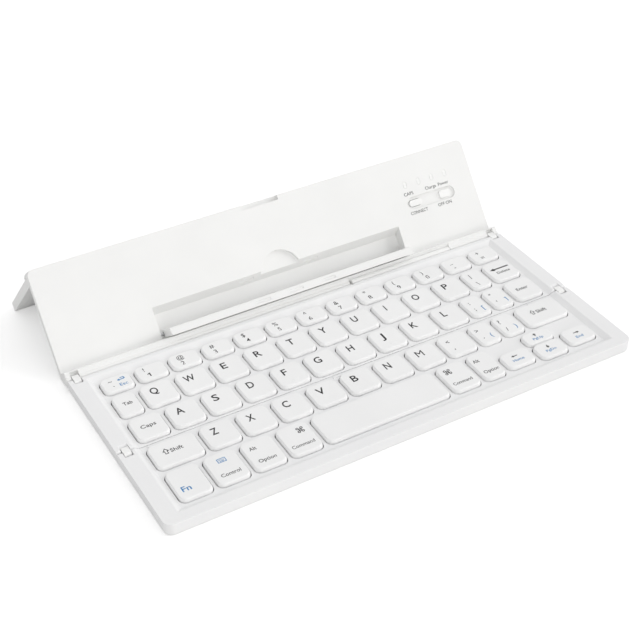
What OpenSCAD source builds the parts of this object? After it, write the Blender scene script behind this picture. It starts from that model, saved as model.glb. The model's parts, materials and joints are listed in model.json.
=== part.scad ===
// Three-panel folding keyboard with a hinged lid that stands up as a tablet rest.
// The origin is on the underside, in the middle of the panel that carries the rear key rows.
// +X is to the typist's right, +Y away from the typist, +Z up.
// The lid is drawn open and its stand is drawn out, as in use.

/* [Panels] */
// Width of every panel
body_w = 215; // [208:1:228]
// Depth of the front panel, from its front edge to the fold
front_d = 44.5; // [44:0.5:50]
// Depth of the middle panel, from fold to fold
mid_d = 50.1; // [49.5:0.1:56]
// Thickness of the two key panels
panel_t = 5.8; // [5.6:0.1:7]
// Radius of the outer corners in plan
corner_r = 3.5; // [1:0.5:5]
// Width of the flat rim at the left and right
side_rim = 6.9; // [6.7:0.1:7.2]
// Width of the flat rim along the front edge
front_rim = 4.8; // [3:0.1:5]
// Width of the flat rim along the rear edge of the middle panel
rear_rim = 2.7; // [2.6:0.1:3]
// Width of the slope that leads from the rim down to the deck
slope_w = 2.4; // [1.8:0.1:2.4]
// Depth of the deck below the rim
deck_drop = 1.6; // [1.2:0.1:1.9]
// Thickness of the deck that the keys pass through
deck_t = 1.0; // [0.8:0.1:1.2]
// Thickness of the bottom covers
cover_t = 0.8; // [0.6:0.1:1]
// Width of the bottom cover's shadow line
cover_inset = 0.25; // [0.1:0.05:0.5]
// Thickness of the front and seam walls under the deck
wall = 1.4; // [1:0.1:1.6]

/* [Keys] */
// Gap between the key field and the foot of the slope at either side
field_margin = 1.2; // [0.9:0.1:4]
// Gap between two neighbouring keys in a row
key_gap = 2.04; // [1.8:0.02:2.6]
// Gap between two rows
row_gap = 2.6; // [2.2:0.1:2.8]
// Depth of a letter key, front to back
letter_h = 13.7; // [13:0.1:14]
// Depth of a number key
number_h = 9.35; // [8.5:0.05:9.6]
// Gap between the front row and the foot of the front slope
front_gap = 1.75; // [1.7:0.05:2.5]
// Depth of the home and end keys
nav_h = 9.75; // [9:0.05:10.5]
// Depth of the up key
up_h = 7.5; // [7:0.1:7.8]
// Gap between the up and the down key
arrow_gap = 0.65; // [0.6:0.05:1]
// Width of the tab key
tab_w = 9.92; // [9:0.1:12]
// Width of the caps key
caps_w = 13.54; // [12:0.1:15]
// Width of the left shift key
shift_w = 19.85; // [18:0.1:22]
// Width of the right shift key
right_shift_w = 21.1; // [19:0.1:23]
// Width of the delete and enter keys
return_w = 13.6; // [12:0.1:15]
// Width of the slash, semicolon and quote keys
symbol_w = 9.82; // [9:0.1:12]
// Width of the period and question keys
stop_w = 10.2; // [9:0.1:12]
// Width of the four keys to the left of the space bar
modifier_w = 13.55; // [12:0.1:14.5]
// Width of the command key to the right of the space bar
right_command_w = 13.1; // [12:0.1:14.5]
// Width of the alt key to the right of the space bar
right_alt_w = 10.4; // [9:0.1:12]
// Width of the home, arrow and end keys
nav_w = 13.75; // [12:0.05:15]
// Distance from the fold to the row in front of it
fold_margin_front = 2.45; // [2.4:0.05:2.6]
// Distance from the fold to the row behind it
fold_margin_rear = 1.6; // [1.6:0.1:2]
// Depth by which the home and end keys start behind the space bar's front edge
nav_offset = 0.8; // [0.4:0.1:1.2]
// Depth by which the down key reaches past the space bar's front edge
down_offset = 0.75; // [0.3:0.05:0.75]
// Corner radius of a key
key_r = 2.6; // [1.5:0.1:3]
// Depth of a key's top below the rim
key_sink = 0.15; // [0.1:0.05:0.4]
// Height of a key's cap
key_height = 2.35; // [2.2:0.05:2.6]
// Height of the bevel round a key's top
bevel_height = 1.2; // [0.8:0.1:1.3]
// Width of the bevel at a key's left and right
bevel_side = 0.5; // [0.2:0.1:0.8]
// Width of the bevel at a key's front
bevel_front = 0.75; // [0.3:0.05:1]
// Width of the bevel at a key's rear
bevel_rear = 0.3; // [0.2:0.1:0.8]
// Wall of a hollow key cap
key_wall = 0.9; // [0.7:0.1:1.2]
// Gap round a key in its opening in the deck
key_clearance = 0.35; // [0.25:0.05:0.4]
// Travel of a key
key_travel = 1.1; // [0.8:0.1:1.1]
// Thickness of the circuit sheet under the keys
sheet_t = 0.25; // [0.2:0.05:0.4]
// Gap between a pressed key's post and its rubber dome
dome_gap = 0.25; // [0.2:0.05:0.3]
// Radius of a rubber dome at its foot
dome_r = 2.6; // [2:0.1:3]

/* [Fold hinges] */
// Distance between the two pivots of a hinge link
pivot_gap = 2.7; // [2.6:0.05:2.9]
// Radius of a hinge link's round ends, which is also the depth of its pivots below the rim
link_r = 1.2; // [1.1:0.05:1.25]
// Width of a hinge link
link_w = 3.05; // [2.6:0.05:3.1]
// Distance from the panel's side to the window of a hinge link
link_inset = 2.1; // [1.8:0.1:2.2]
// Gap at each side of a hinge link
link_clearance = 0.3; // [0.2:0.05:0.3]
// Radius of the hinge pins
pin_r = 0.6; // [0.5:0.05:0.65]
// Radial running gap round the hinge pins
pin_clearance = 0.05; // [0.03:0.01:0.08]
// Depth to which a pin enters the wall at each side of its window
pin_seat = 1.15; // [1:0.05:1.2]
// Length of the ramp at each end of a link's window
ramp_l = 0.95; // [0.5:0.05:1.1]

/* [Fold tabs] */
// Width of the three raised tabs on the front panel's deck at the fold
fold_tab_w = 8; // [6:0.1:9]
// Depth of a raised tab
fold_tab_d = 1.1; // [0.8:0.1:1.2]
// Height of a raised tab
fold_tab_h = 0.5; // [0.3:0.05:0.8]
// Distance from the key field's left end to the left tab
left_tab_inset = 1.8; // [1.5:0.1:3]
// Left edge of the middle tab
middle_tab_x = -13; // [-16:0.1:-6]
// Distance from the right tab's left edge to the key field's right end
right_tab_inset = 11.7; // [11:0.1:13]

/* [Lid] */
// Height of the lid's front face along its slope
lid_h = 44.5; // [44.5:0.5:50]
// Tilt of the open lid from the table
lid_tilt = 51.75; // [50:0.25:54]
// Gap between the folded panels and the closed lid
closed_gap = 0.3; // [0.3:0.05:0.6]
// Distance along the lid from its pivot to the lower edge of its face
lid_setback = 3.05; // [3:0.05:3.4]
// Thickness of the lid at its left and right ends
lid_t = 3.2; // [3.1:0.05:3.6]
// Thickness of the lid's front wall
front_wall = 1.2; // [1.1:0.05:1.3]
// Thickness of the lid's rear cover
back_wall = 0.8; // [0.7:0.05:0.9]
// Radius of the lid's upper corners
lid_r = 2.8; // [1:0.1:4]
// Height of the thick strip along the lid's top edge, above the stand's axis
strip_h = 4.8; // [4.6:0.1:6]
// Width of the lid's rim wall
rim_wall = 1.3; // [1:0.1:1.6]
// Half width of the finger notch in the top edge
notch_half = 9; // [6:0.5:12]
// Height of the finger notch
notch_h = 2.1; // [1.5:0.1:2.2]
// Depth of the finger notch
notch_depth = 3; // [2:0.1:3.5]
// Bevel of the spine's lower front edge
spine_bevel = 0.6; // [0.4:0.1:0.8]
// Height of the spine's lower front edge above its foot
spine_rise = 1.5; // [1:0.1:2]
// Distance from the spine's front to its foot
spine_foot = 4.9; // [4:0.1:6]
// Gap between the lid and the table
ground_gap = 0.4; // [0.3:0.05:0.5]

/* [Spine] */
// Height of the ridge above the table
ridge_z = 7.45; // [7:0.05:7.5]
// Width of the flat step in front of the ridge
step_w = 0.25; // [0.2:0.05:0.6]
// Width of the ridge's front slope
ridge_slope = 1.0; // [0.8:0.1:1.2]
// Distance from the lid's right side to the flat cover bar
bar_inset = 27.2; // [22:0.1:33]
// Length of the flat cover bar
bar_l = 52.5; // [45:0.1:58]
// Width of the open slot at the bar's left end
slot_w = 1.3; // [1:0.1:1.5]
// Gap round the cover bar
bar_clearance = 0.2; // [0.15:0.05:0.3]
// Thickness of the cover bar
bar_t = 2.3; // [1.5:0.1:2.3]

/* [Tablet ledge] */
// Gap between the ledge's ends and the pocket's sides
ledge_side_gap = 1.7; // [1.3:0.1:5]
// Length of the ledge from its axis to its tip
ledge_l = 11.7; // [10:0.1:11.7]
// Thickness of the ledge
ledge_t = 3.3; // [2.8:0.1:3.3]
// Slant of the ledge's tip
ledge_slant = 1.8; // [1.5:0.1:2.2]
// Gap between the ledge and the ridge that it rests above, and below the ridge's own top
ledge_gap = 0.3; // [0.25:0.05:0.4]
// Depth of the folded ledge below the lid's face
ledge_sink = 0.1; // [0.05:0.05:0.2]
// Gap between the folded ledge's tip and the pocket
ledge_tip_gap = 0.35; // [0.3:0.05:0.5]
// Radius of the ledge's pins
ledge_pin_r = 0.8; // [0.6:0.05:0.9]
// Length of a ledge pin
ledge_pin_l = 6; // [5:0.1:7]
// Depth to which a ledge pin enters the pocket's side wall
ledge_pin_seat = 1.3; // [1:0.1:1.6]
// Distance from the lid's sides to the pocket that the ledge folds into
pocket_inset = 45.7; // [42:0.1:50]
// Depth of the pocket
pocket_depth = 5.4; // [5.3:0.1:5.4]
// Slant of the pocket's upper wall
pocket_slant = 3.1; // [2.8:0.1:3.4]
// Wall behind and around the pocket
pocket_wall = 0.7; // [0.6:0.05:0.8]
// Thickness of the pocket's side walls
pocket_side = 2.0; // [1.8:0.1:2.4]
// Radius of the finger scoop above the pocket
scoop_r = 9.7; // [8:0.1:11]
// Height of the finger scoop above the pocket
scoop_h = 7.0; // [5:0.1:8]
// Depth of the finger scoop
scoop_depth = 1.8; // [1.4:0.1:1.9]
// Distance of the two catches from the middle
catch_x = 16.2; // [12:0.1:30]
// Length of a catch
catch_l = 7; // [5:0.1:9]
// Depth of a catch
catch_d = 0.5; // [0.3:0.05:0.6]

/* [Stand] */
// Thickness of the stand
stand_t = 4.0; // [3.6:0.1:4]
// Length of the stand from its axis to its foot
stand_l = 41.7; // [41:0.1:42.5]
// Depth of the stand's cross bar
stand_bar = 7.7; // [6:0.1:7.8]
// Gap between the stand's legs and the housing
leg_gap = 2.5; // [2:0.1:6]
// Gap between the stand and the lid
stand_gap = 0.3; // [0.25:0.05:0.4]
// Distance of the two ears from the lid's sides
ear_inset = 22.5; // [17:0.5:28]
// Width of an ear
ear_w = 5; // [4:0.1:6]
// Radius of the stand's pins
stand_pin_r = 0.8; // [0.6:0.05:0.9]
// Length of a stand pin
stand_pin_l = 14; // [12:0.5:16]

/* [Housing] */
// Distance from the pocket's sides to the sides of the battery housing
housing_side = 4.2; // [3.5:0.1:5]
// Height of the housing's top above the lid's lower edge
housing_top = 31.5; // [30:0.1:31.6]
// Wall of the housing
housing_wall = 1.0; // [0.8:0.1:1]
// Distance from the housing's left wall to the battery
battery_side = 9; // [5:1:20]
// Gap between the pocket's wall and the battery
battery_lift = 1; // [0.5:0.1:1.5]
// Height of the battery
battery_h = 12.5; // [10:0.5:13]
// Thickness of the battery
battery_t = 3.3; // [2.5:0.1:3.4]

/* [Controls] */
// Distance from the control recess's left end to the first lamp
lamp_inset = 1.7; // [0:0.1:3]
// Pitch of the four lamps
lamp_pitch = 7.27; // [6:0.01:7.6]
// Distance from the lid's upper edge down to the lamps
lamp_drop = 13.1; // [10.5:0.1:15]
// Width of a lamp window
lamp_w = 1.7; // [1.2:0.1:2]
// Height of a lamp window
lamp_h = 3.0; // [2.2:0.1:3.4]
// Distance from the lid's right side to the control recess
recess_inset = 11.5; // [9:0.1:12]
// Length of the control recess
recess_l = 26; // [25:0.1:28]
// Distance from the lamps down to the middle of the control recess
recess_drop = 9.05; // [8:0.05:11]
// Height of the control recess
recess_h = 5.7; // [5:0.1:6]
// Depth of the control recess
recess_depth = 1.1; // [0.9:0.05:1.15]
// Thickness of the recess floor
recess_floor = 0.5; // [0.4:0.05:0.5]
// Length of the connect button
button_l = 6.7; // [5:0.1:7]
// Height of the connect button
button_h = 3.0; // [2.5:0.1:3.5]
// Travel of the connect button
button_travel = 0.3; // [0.2:0.05:0.3]
// Length of the power slider
slider_l = 5.6; // [4:0.1:6]
// Height of the power slider
slider_h = 3.5; // [2.5:0.1:4]
// Travel of the power slider
slider_travel = 2.5; // [1.5:0.1:2.5]
// Depth of the button and slider tops below the lid's face
control_sink = 0.3; // [0.2:0.05:0.4]
// Distance from the recess's left end to the connect button
button_margin = 1.3; // [1:0.1:2]
// Distance from the power slider to the recess's right end
slider_margin = 2.6; // [1:0.1:3]
// Length of the stem under the power slider
stem_l = 2; // [1.5:0.1:2.4]
// Height of the stem under the power slider
stem_h = 1.2; // [1:0.1:1.5]
// Thickness of the connect switch's snap disc
switch_t = 0.2; // [0.15:0.05:0.25]
// Gap round the button and the slider
control_gap = 0.15; // [0.1:0.01:0.15]
// Thickness of the circuit board
board_t = 0.3; // [0.25:0.05:0.35]
// Distance that the circuit board reaches to the left of the control recess
board_reach = 54; // [50:0.5:58]
// Gap between the battery and the circuit board's left end
battery_gap = 4; // [2:0.5:6]
// Height of the charge socket's lower edge on the lid
socket_v = 20; // [18:0.1:21]
// Width of the charge socket
socket_w = 7.6; // [7.4:0.1:8]
// Height of the charge socket
socket_t = 2.7; // [2.5:0.1:2.8]
// Length of the charge socket
socket_l = 5.4; // [5:0.1:6]
// Sheet thickness of the charge socket
socket_wall = 0.3; // [0.2:0.05:0.4]

/* [Hidden] */

$fn = 32;
// Overshoot of a cut past the face that it opens
cut = 1;
// Gap between two still pieces that lie against each other
seat = 0.05;

// Widths and places that follow the body's width
half_w = body_w / 2;
inner_half = half_w - side_rim;
field_w = 2 * (inner_half - slope_w - field_margin);
pocket_half = half_w - pocket_inset;
ledge_half = pocket_half - ledge_side_gap;
housing_half = pocket_half + housing_side;
leg_x = housing_half + leg_gap;
ear_x = half_w - ear_inset;
bar_x1 = half_w - bar_inset;
bar_x0 = bar_x1 - bar_l;
recess_x1 = half_w - recess_inset;
recess_x0 = recess_x1 - recess_l;
lamp_x = recess_x0 + lamp_inset;
board_x0 = recess_x0 - board_reach;
battery_x0 = housing_wall + battery_side - housing_half;

fold_y = front_d;
rear_y = front_d + mid_d;
origin_y = front_d + mid_d / 2;
pivot_z = panel_t - link_r;
tab_xs = [left_tab_inset - field_w / 2, middle_tab_x, field_w / 2 - right_tab_inset];
deck_z = panel_t - deck_drop;

// Pivots of the two hinges, front to back
fold_front_y = fold_y - pivot_gap / 2;
fold_rear_y = fold_y + pivot_gap / 2;
lid_front_y = rear_y - pivot_gap / 2;
lid_rear_y = rear_y + pivot_gap / 2;

// Windows of the hinge links
window_w = link_w + 2 * link_clearance;
window_x = half_w - link_inset - window_w / 2;
room_r = link_r + link_clearance;
pin_l = window_w + 2 * pin_seat;
bore_r = pin_r + pin_clearance;

// Key rows, left to right; a width of 0 takes its share of what is left of the field
number_row = [for (i = [0:12]) 0];
top_row = concat([tab_w], [for (i = [1:10]) 0], [symbol_w, return_w]);
home_row = concat([caps_w], [for (i = [1:9]) 0], [symbol_w, symbol_w, return_w]);
lower_row = concat([shift_w], [for (i = [1:8]) 0], [stop_w, stop_w, right_shift_w]);
space_row = concat(
    [modifier_w, modifier_w, modifier_w, modifier_w, 0],
    [right_command_w, right_alt_w, nav_w, nav_w, nav_w]
);

// Front edges of the key rows
lower_y = fold_y - fold_margin_front - letter_h;
space_y = front_rim + slope_w + front_gap;
space_h = lower_y - row_gap - space_y;
home_y = fold_y + fold_margin_rear;
top_y = home_y + letter_h + row_gap;
number_y = top_y + letter_h + row_gap;
nav_y = space_y + nav_offset;
down_y = space_y - down_offset;
up_y = space_y + space_h - up_h;
down_h = up_y - arrow_gap - down_y;

// Heights of the lamps and of the control recess on the lid
lamp_v = lid_h - lamp_drop;
recess_v = lamp_v - recess_drop;

key_top_z = panel_t - key_sink;
key_low_z = key_top_z - key_height;
sheet_z = cover_t + seat;
dome_top_z = key_low_z - key_travel - dome_gap;

// The closed lid lies over both folded panels, which sets its face's distance from its pivot
half_turn = (180 - lid_tilt) / 2;
folded_top_z = 2 * pivot_z + pivot_gap;
face_n = folded_top_z + closed_gap - pivot_z - pivot_gap * sin(half_turn);
lid_y = lid_rear_y + lid_setback * cos(lid_tilt) + face_n * sin(lid_tilt);
lid_z = pivot_z + lid_setback * sin(lid_tilt) - face_n * cos(lid_tilt);

// The drawn-out stand puts its foot's lower edge on the table
stand_r = stand_t / 2;
stand_v = lid_h - strip_h;
stand_n = -lid_t - stand_gap - stand_r;
stand_z = lid_z + stand_v * sin(lid_tilt) + stand_n * cos(lid_tilt);
stand_slope = asin(stand_z / norm([stand_l, stand_r])) - atan(stand_r / stand_l);
stand_open = 180 - lid_tilt - stand_slope;
lid_depth = lid_t + stand_gap + stand_t + ledge_sink;

// Ledge and pocket, in the lid's own plane
ledge_r = ledge_t / 2;
ledge_v = 2 * ledge_gap + ledge_r;
ledge_n = -ledge_sink - ledge_r;
pocket_v0 = ledge_gap;
pocket_v1 = ledge_v + ledge_l + ledge_tip_gap;
housing_low_z = ground_gap + pocket_wall;
pocket_low_z = housing_low_z + 2 * seat + pocket_wall;

// Inside of the lid
cavity_n = -lid_t + back_wall;
cavity_v0 = pocket_v0 + pocket_wall / 2;
cavity_v1 = stand_v - rim_wall;
cavity_half = half_w - rim_wall;
board_n = cavity_n + seat;
board_top_n = board_n + board_t;
battery_v = pocket_v1 + pocket_wall + battery_lift;
battery_n = -lid_depth + housing_wall + seat;
socket_n = -lid_t - 5 * seat - socket_t;

button_x = recess_x0 + button_margin;
slider_x = recess_x1 - slider_margin - slider_l;
slider_mid = slider_x + slider_l / 2;
floor_n = -recess_depth - recess_floor;
bar_y = lid_rear_y + step_w + ridge_slope;

// Total of the first n entries of a list
function total(v, n) = n <= 0 ? 0 : v[n - 1] + total(v, n - 1);
// Number of keys in a row that share what is left
function sharers(row) = len([for (w = row) if (w == 0) w]);
// Width of each of those keys
function share(row) = (field_w - key_gap * (len(row) - 1) - total(row, len(row))) / sharers(row);
// All key widths of a row
function widths(row) = [for (w = row) w == 0 ? share(row) : w];
// Place and size of one key in plan: x, y, width, depth
function key_box(row, i, y, h) = [
    total(widths(row), i) + i * key_gap - field_w / 2, y, widths(row)[i], h
];
// Places and sizes of a run of keys
function key_run(row, first, last, y, h) = [for (i = [first:last]) key_box(row, i, y, h)];
// Corner radius of a key, limited by its depth
function corner(b) = min(key_r, b[3] / 2 - 1);
// Point in y and z for a place on the lid: v up its face, n out of it
function lid_point(v, n) = [
    lid_y + v * cos(lid_tilt) - n * sin(lid_tilt),
    lid_z + v * sin(lid_tilt) + n * cos(lid_tilt)
];
// Height on the lid at which a level z meets the depth n, and the other way round
function level_v(z, n) = (z - lid_z - n * cos(lid_tilt)) / sin(lid_tilt);
function level_n(z, v) = (z - lid_z - v * sin(lid_tilt)) / cos(lid_tilt);

home_box = key_box(space_row, 7, nav_y, nav_h);
down_box = key_box(space_row, 8, down_y, down_h);
up_box = key_box(space_row, 8, up_y, up_h);
end_box = key_box(space_row, 9, nav_y, nav_h);
front_keys = concat(
    key_run(lower_row, 0, 11, lower_y, letter_h),
    key_run(space_row, 0, 6, space_y, space_h),
    [home_box, down_box, up_box, end_box]
);
middle_keys = concat(
    key_run(home_row, 0, 12, home_y, letter_h),
    key_run(top_row, 0, 12, top_y, letter_h),
    key_run(number_row, 0, 12, number_y, number_h)
);

// Everything is drawn from the front edge and then moved to the origin
module placed() {
    translate([0, -origin_y, 0]) children();
}

// Pieces of the lid are drawn flat: x along the lid, y up its face, z out of its face
module on_lid() {
    placed() translate([0, lid_y, lid_z]) rotate([lid_tilt, 0, 0]) children();
}

// An outline in y and z, swept along x
module along_x(x0, x1) {
    translate([x0, 0, 0]) rotate([90, 0, 90]) linear_extrude(x1 - x0) children();
}

// An outline in x and z, swept along y
module along_y(y0, y1) {
    translate([0, y1, 0]) rotate([90, 0, 0]) linear_extrude(y1 - y0) children();
}

// Rod along x through a point in y and z
module rod(x0, x1, y, z, r) {
    translate([x0, y, z]) rotate([0, 90, 0]) cylinder(r = r, h = x1 - x0);
}

// Rectangle with its corner at the origin and round corners
module rounded(w, h, r) {
    translate([r, 0]) square([w - 2 * r, h]);
    translate([0, r]) square([w, h - 2 * r]);
    for (x = [r, w - r]) {
        for (y = [r, h - r]) translate([x, y]) circle(r);
    }
}

// A copy at the left and one at the right
module both_sides() {
    children();
    mirror([1, 0, 0]) children();
}

// Plan of the front panel, round at its two outer corners
module front_plan(inset) {
    translate([-half_w + inset, inset]) rounded(body_w - 2 * inset, front_d, corner_r);
    translate([-half_w + inset, front_d / 2]) square([body_w - 2 * inset, front_d / 2]);
}

// Section of a key panel between two places in y
module panel_section(y0, y1) {
    translate([y0, cover_t]) square([y1 - y0, panel_t - cover_t]);
}

// Section of a panel's end at a hinge, round at the top about its pivot
module hinge_end(pivot_y, side) {
    translate([side > 0 ? pivot_y : pivot_y - link_r, cover_t]) square([link_r, pivot_z - cover_t]);
    translate([pivot_y, pivot_z]) circle(link_r);
}

// Section of the room in which a link swings, open towards the hinge and upwards
module link_room(pivot_y, side) {
    reach = pivot_gap + link_r;
    back_y = pivot_y - side * room_r;
    translate([pivot_y, pivot_z]) circle(room_r);
    translate([side > 0 ? pivot_y : pivot_y - reach, pivot_z - room_r]) square([reach, room_r]);
    translate([side > 0 ? back_y : pivot_y - reach, pivot_z]) square([reach + room_r, panel_t + cut]);
    polygon([
        [back_y, pivot_z + link_clearance], [back_y - side * ramp_l, panel_t],
        [back_y - side * ramp_l, panel_t + cut], [back_y + side * seat, panel_t + cut],
        [back_y + side * seat, pivot_z + link_clearance]
    ]);
}

// Windows for the two links of a hinge, with the blind bores for their pins
module link_windows(pivot_y, side) {
    both_sides() {
        along_x(window_x - window_w / 2, window_x + window_w / 2) link_room(pivot_y, side);
        rod(window_x - pin_l / 2 - seat, window_x + pin_l / 2 + seat, pivot_y, pivot_z, bore_r);
    }
}

// Openings in the deck for a list of keys
module key_openings(boxes) {
    gap = key_clearance;
    translate([0, 0, deck_z - deck_t - cut / 2]) linear_extrude(deck_t + cut) {
        for (b = boxes) {
            translate([b[0] - gap, b[1] - gap]) rounded(b[2] + 2 * gap, b[3] + 2 * gap, corner(b) + gap);
        }
    }
}

// Sunk deck between sloping walls; an end with no slope runs out at a fold
module deck_recess(y0, y1, slope0, slope1) {
    intersection() {
        along_y(y0 - cut, y1 + cut) polygon([
            [slope_w - inner_half, deck_z], [inner_half - slope_w, deck_z],
            [inner_half, panel_t], [inner_half, panel_t + cut],
            [-inner_half, panel_t + cut], [-inner_half, panel_t]
        ]);
        along_x(-half_w, half_w) polygon([
            [y0 + slope0, deck_z], [y1 - slope1, deck_z],
            [y1, panel_t], [y1, panel_t + cut], [y0, panel_t + cut], [y0, panel_t]
        ]);
    }
}

// Half width of the hollow under the deck
under_half = inner_half - slope_w + key_clearance;

// Hollow under the deck for the circuit sheet and the keys
module underside(y0, y1) {
    translate([-under_half, y0, 0]) cube([2 * under_half, y1 - y0, deck_z - deck_t]);
}

// Flat sheet with a rubber dome under each key
module circuit_sheet(boxes, y0, y1) {
    half = under_half - 2 * seat;
    translate([-half, y0, sheet_z]) cube([2 * half, y1 - y0, sheet_t]);
    for (b = boxes) {
        translate([b[0] + b[2] / 2, b[1] + b[3] / 2, sheet_z])
            cylinder(r1 = dome_r, r2 = dome_r / 2, h = dome_top_z - sheet_z);
    }
}

module front_frame() {
    color("whitesmoke") placed() {
        difference() {
            intersection() {
                linear_extrude(panel_t) front_plan(0);
                along_x(-half_w, half_w) {
                    panel_section(0, fold_front_y);
                    hinge_end(fold_front_y, 1);
                }
            }
            deck_recess(front_rim, fold_y + cut, slope_w, 0);
            underside(wall, fold_front_y + link_r - wall);
            key_openings(front_keys);
            link_windows(fold_front_y, 1);
        }
        for (x = tab_xs) {
            translate([x, fold_front_y - fold_tab_d / 2, deck_z])
                cube([fold_tab_w, fold_tab_d, fold_tab_h]);
        }
    }
}

module front_cover() {
    color("white") placed() linear_extrude(cover_t) intersection() {
        front_plan(cover_inset);
        translate([-half_w, 0]) square([body_w, fold_front_y + link_r - cover_inset]);
    }
}

module front_circuit() {
    color("gainsboro") placed()
        circuit_sheet(front_keys, wall + 2 * seat, fold_front_y + link_r - wall - 2 * seat);
}

module middle_frame() {
    color("whitesmoke") placed() difference() {
        along_x(-half_w, half_w) {
            panel_section(fold_rear_y, lid_front_y);
            hinge_end(fold_rear_y, -1);
            hinge_end(lid_front_y, 1);
        }
        deck_recess(fold_y - cut, rear_y - rear_rim, 0, slope_w);
        underside(fold_rear_y - link_r + wall, lid_front_y + link_r - wall);
        key_openings(middle_keys);
        link_windows(fold_rear_y, -1);
        link_windows(lid_front_y, 1);
        translate([bar_x0 - slot_w, lid_front_y, pivot_z]) cube([slot_w, link_r + cut, link_r + cut]);
    }
}

module middle_cover() {
    y0 = fold_rear_y - link_r + cover_inset;
    y1 = lid_front_y + link_r - cover_inset;
    color("white") placed() translate([cover_inset - half_w, y0, 0])
        cube([body_w - 2 * cover_inset, y1 - y0, cover_t]);
}

module middle_circuit() {
    color("gainsboro") placed() circuit_sheet(
        middle_keys, fold_rear_y - link_r + wall + 2 * seat, lid_front_y + link_r - wall - 2 * seat
    );
}

// Two flat links with a bore for each of their pins
module hinge_links(front_y, rear_y) {
    both_sides() difference() {
        along_x(window_x - link_w / 2, window_x + link_w / 2) {
            for (y = [front_y, rear_y]) translate([y, pivot_z]) circle(link_r);
            translate([front_y, pivot_z - link_r]) square([rear_y - front_y, 2 * link_r]);
        }
        for (y = [front_y, rear_y]) rod(window_x - link_w, window_x + link_w, y, pivot_z, bore_r);
    }
}

// The four pins of a pair of links
module hinge_pins(front_y, rear_y) {
    both_sides() for (y = [front_y, rear_y]) {
        rod(window_x - pin_l / 2, window_x + pin_l / 2, y, pivot_z, pin_r);
    }
}

module fold_links() {
    color("white") placed() hinge_links(fold_front_y, fold_rear_y);
}

module fold_pins() {
    color("silver") placed() hinge_pins(fold_front_y, fold_rear_y);
}

module lid_links() {
    color("white") placed() hinge_links(lid_front_y, lid_rear_y);
}

module lid_pins() {
    color("silver") placed() hinge_pins(lid_front_y, lid_rear_y);
}

// Section of the hinge spine, from its round nose to the foot of the lid
module spine_section() {
    nose_y = lid_rear_y - link_r;
    translate([lid_rear_y, pivot_z]) circle(link_r);
    polygon([
        [nose_y, pivot_z], [nose_y, ground_gap + spine_rise + spine_bevel],
        [nose_y + spine_bevel, ground_gap + spine_rise], [nose_y + spine_foot, ground_gap],
        lid_point(level_v(ground_gap, -lid_t), -lid_t),
        lid_point(cavity_v0, -lid_t), lid_point(cavity_v0, 0), lid_point(pocket_v0, 0),
        lid_point(pocket_v0, level_n(ridge_z, pocket_v0)), [bar_y, ridge_z],
        [lid_rear_y + step_w, panel_t], [lid_rear_y, panel_t]
    ]);
}

// Section of the lid's plate with the thick strip along its top
module lid_section() {
    polygon([
        [0, 0], [lid_h, 0], [lid_h, -lid_depth], [stand_v, -lid_depth],
        [stand_v, -lid_t], [0, -lid_t]
    ]);
}

// Face of the lid, round at its two upper corners
module lid_plan() {
    translate([-half_w, lid_h / 2]) rounded(body_w, lid_h / 2, lid_r);
    translate([-half_w, 0]) square([body_w, lid_h * 0.75]);
}

// Room that the stand sweeps beside its ears
module stand_room() {
    gap = stand_r + stand_gap;
    translate([stand_v, stand_n]) {
        circle(gap);
        rotate(stand_open) translate([-2 * stand_t, -gap]) square([2 * stand_t, 2 * gap]);
    }
}

// Section of the pocket, grown outwards for its wall, open at the lid's face
module pocket_section(grow, top) {
    low_z = pocket_low_z - grow;
    low_v = pocket_v0 - grow;
    back_n = -pocket_depth - grow;
    polygon([
        [low_v, top], [low_v, level_n(low_z, low_v)], [level_v(low_z, back_n), back_n],
        [pocket_v1 - pocket_slant + grow, back_n], [pocket_v1 + grow, 0], [pocket_v1 + grow, top]
    ]);
}

// Oval outline of the control recess, in the plane of the lid
module control_outline(x0, x1, h, grow) {
    translate([x0 - grow, recess_v - h / 2 - grow])
        rounded(x1 - x0 + 2 * grow, h + 2 * grow, h / 2 + grow - seat);
}

// Slot in which the slider's stem runs
module stem_slot(grow) {
    half = stem_l / 2 + grow;
    translate([slider_mid - half - slider_travel, recess_v - stem_h / 2 - grow])
        square([2 * half + slider_travel, stem_h + 2 * grow]);
}

// Round-ended windows of the four lamps
module lamp_outlines(grow) {
    for (i = [0:3]) {
        translate([lamp_x + i * lamp_pitch - lamp_w / 2 - grow, lamp_v - lamp_h / 2 - grow])
            rounded(lamp_w + 2 * grow, lamp_h + 2 * grow, lamp_w / 2 + grow - seat);
    }
}

// Finger scoop above the pocket
module scoop(r, n0, n1) {
    translate([0, pocket_v1 + scoop_h - scoop_r, n0]) cylinder(r = r, h = n1 - n0);
}

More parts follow.
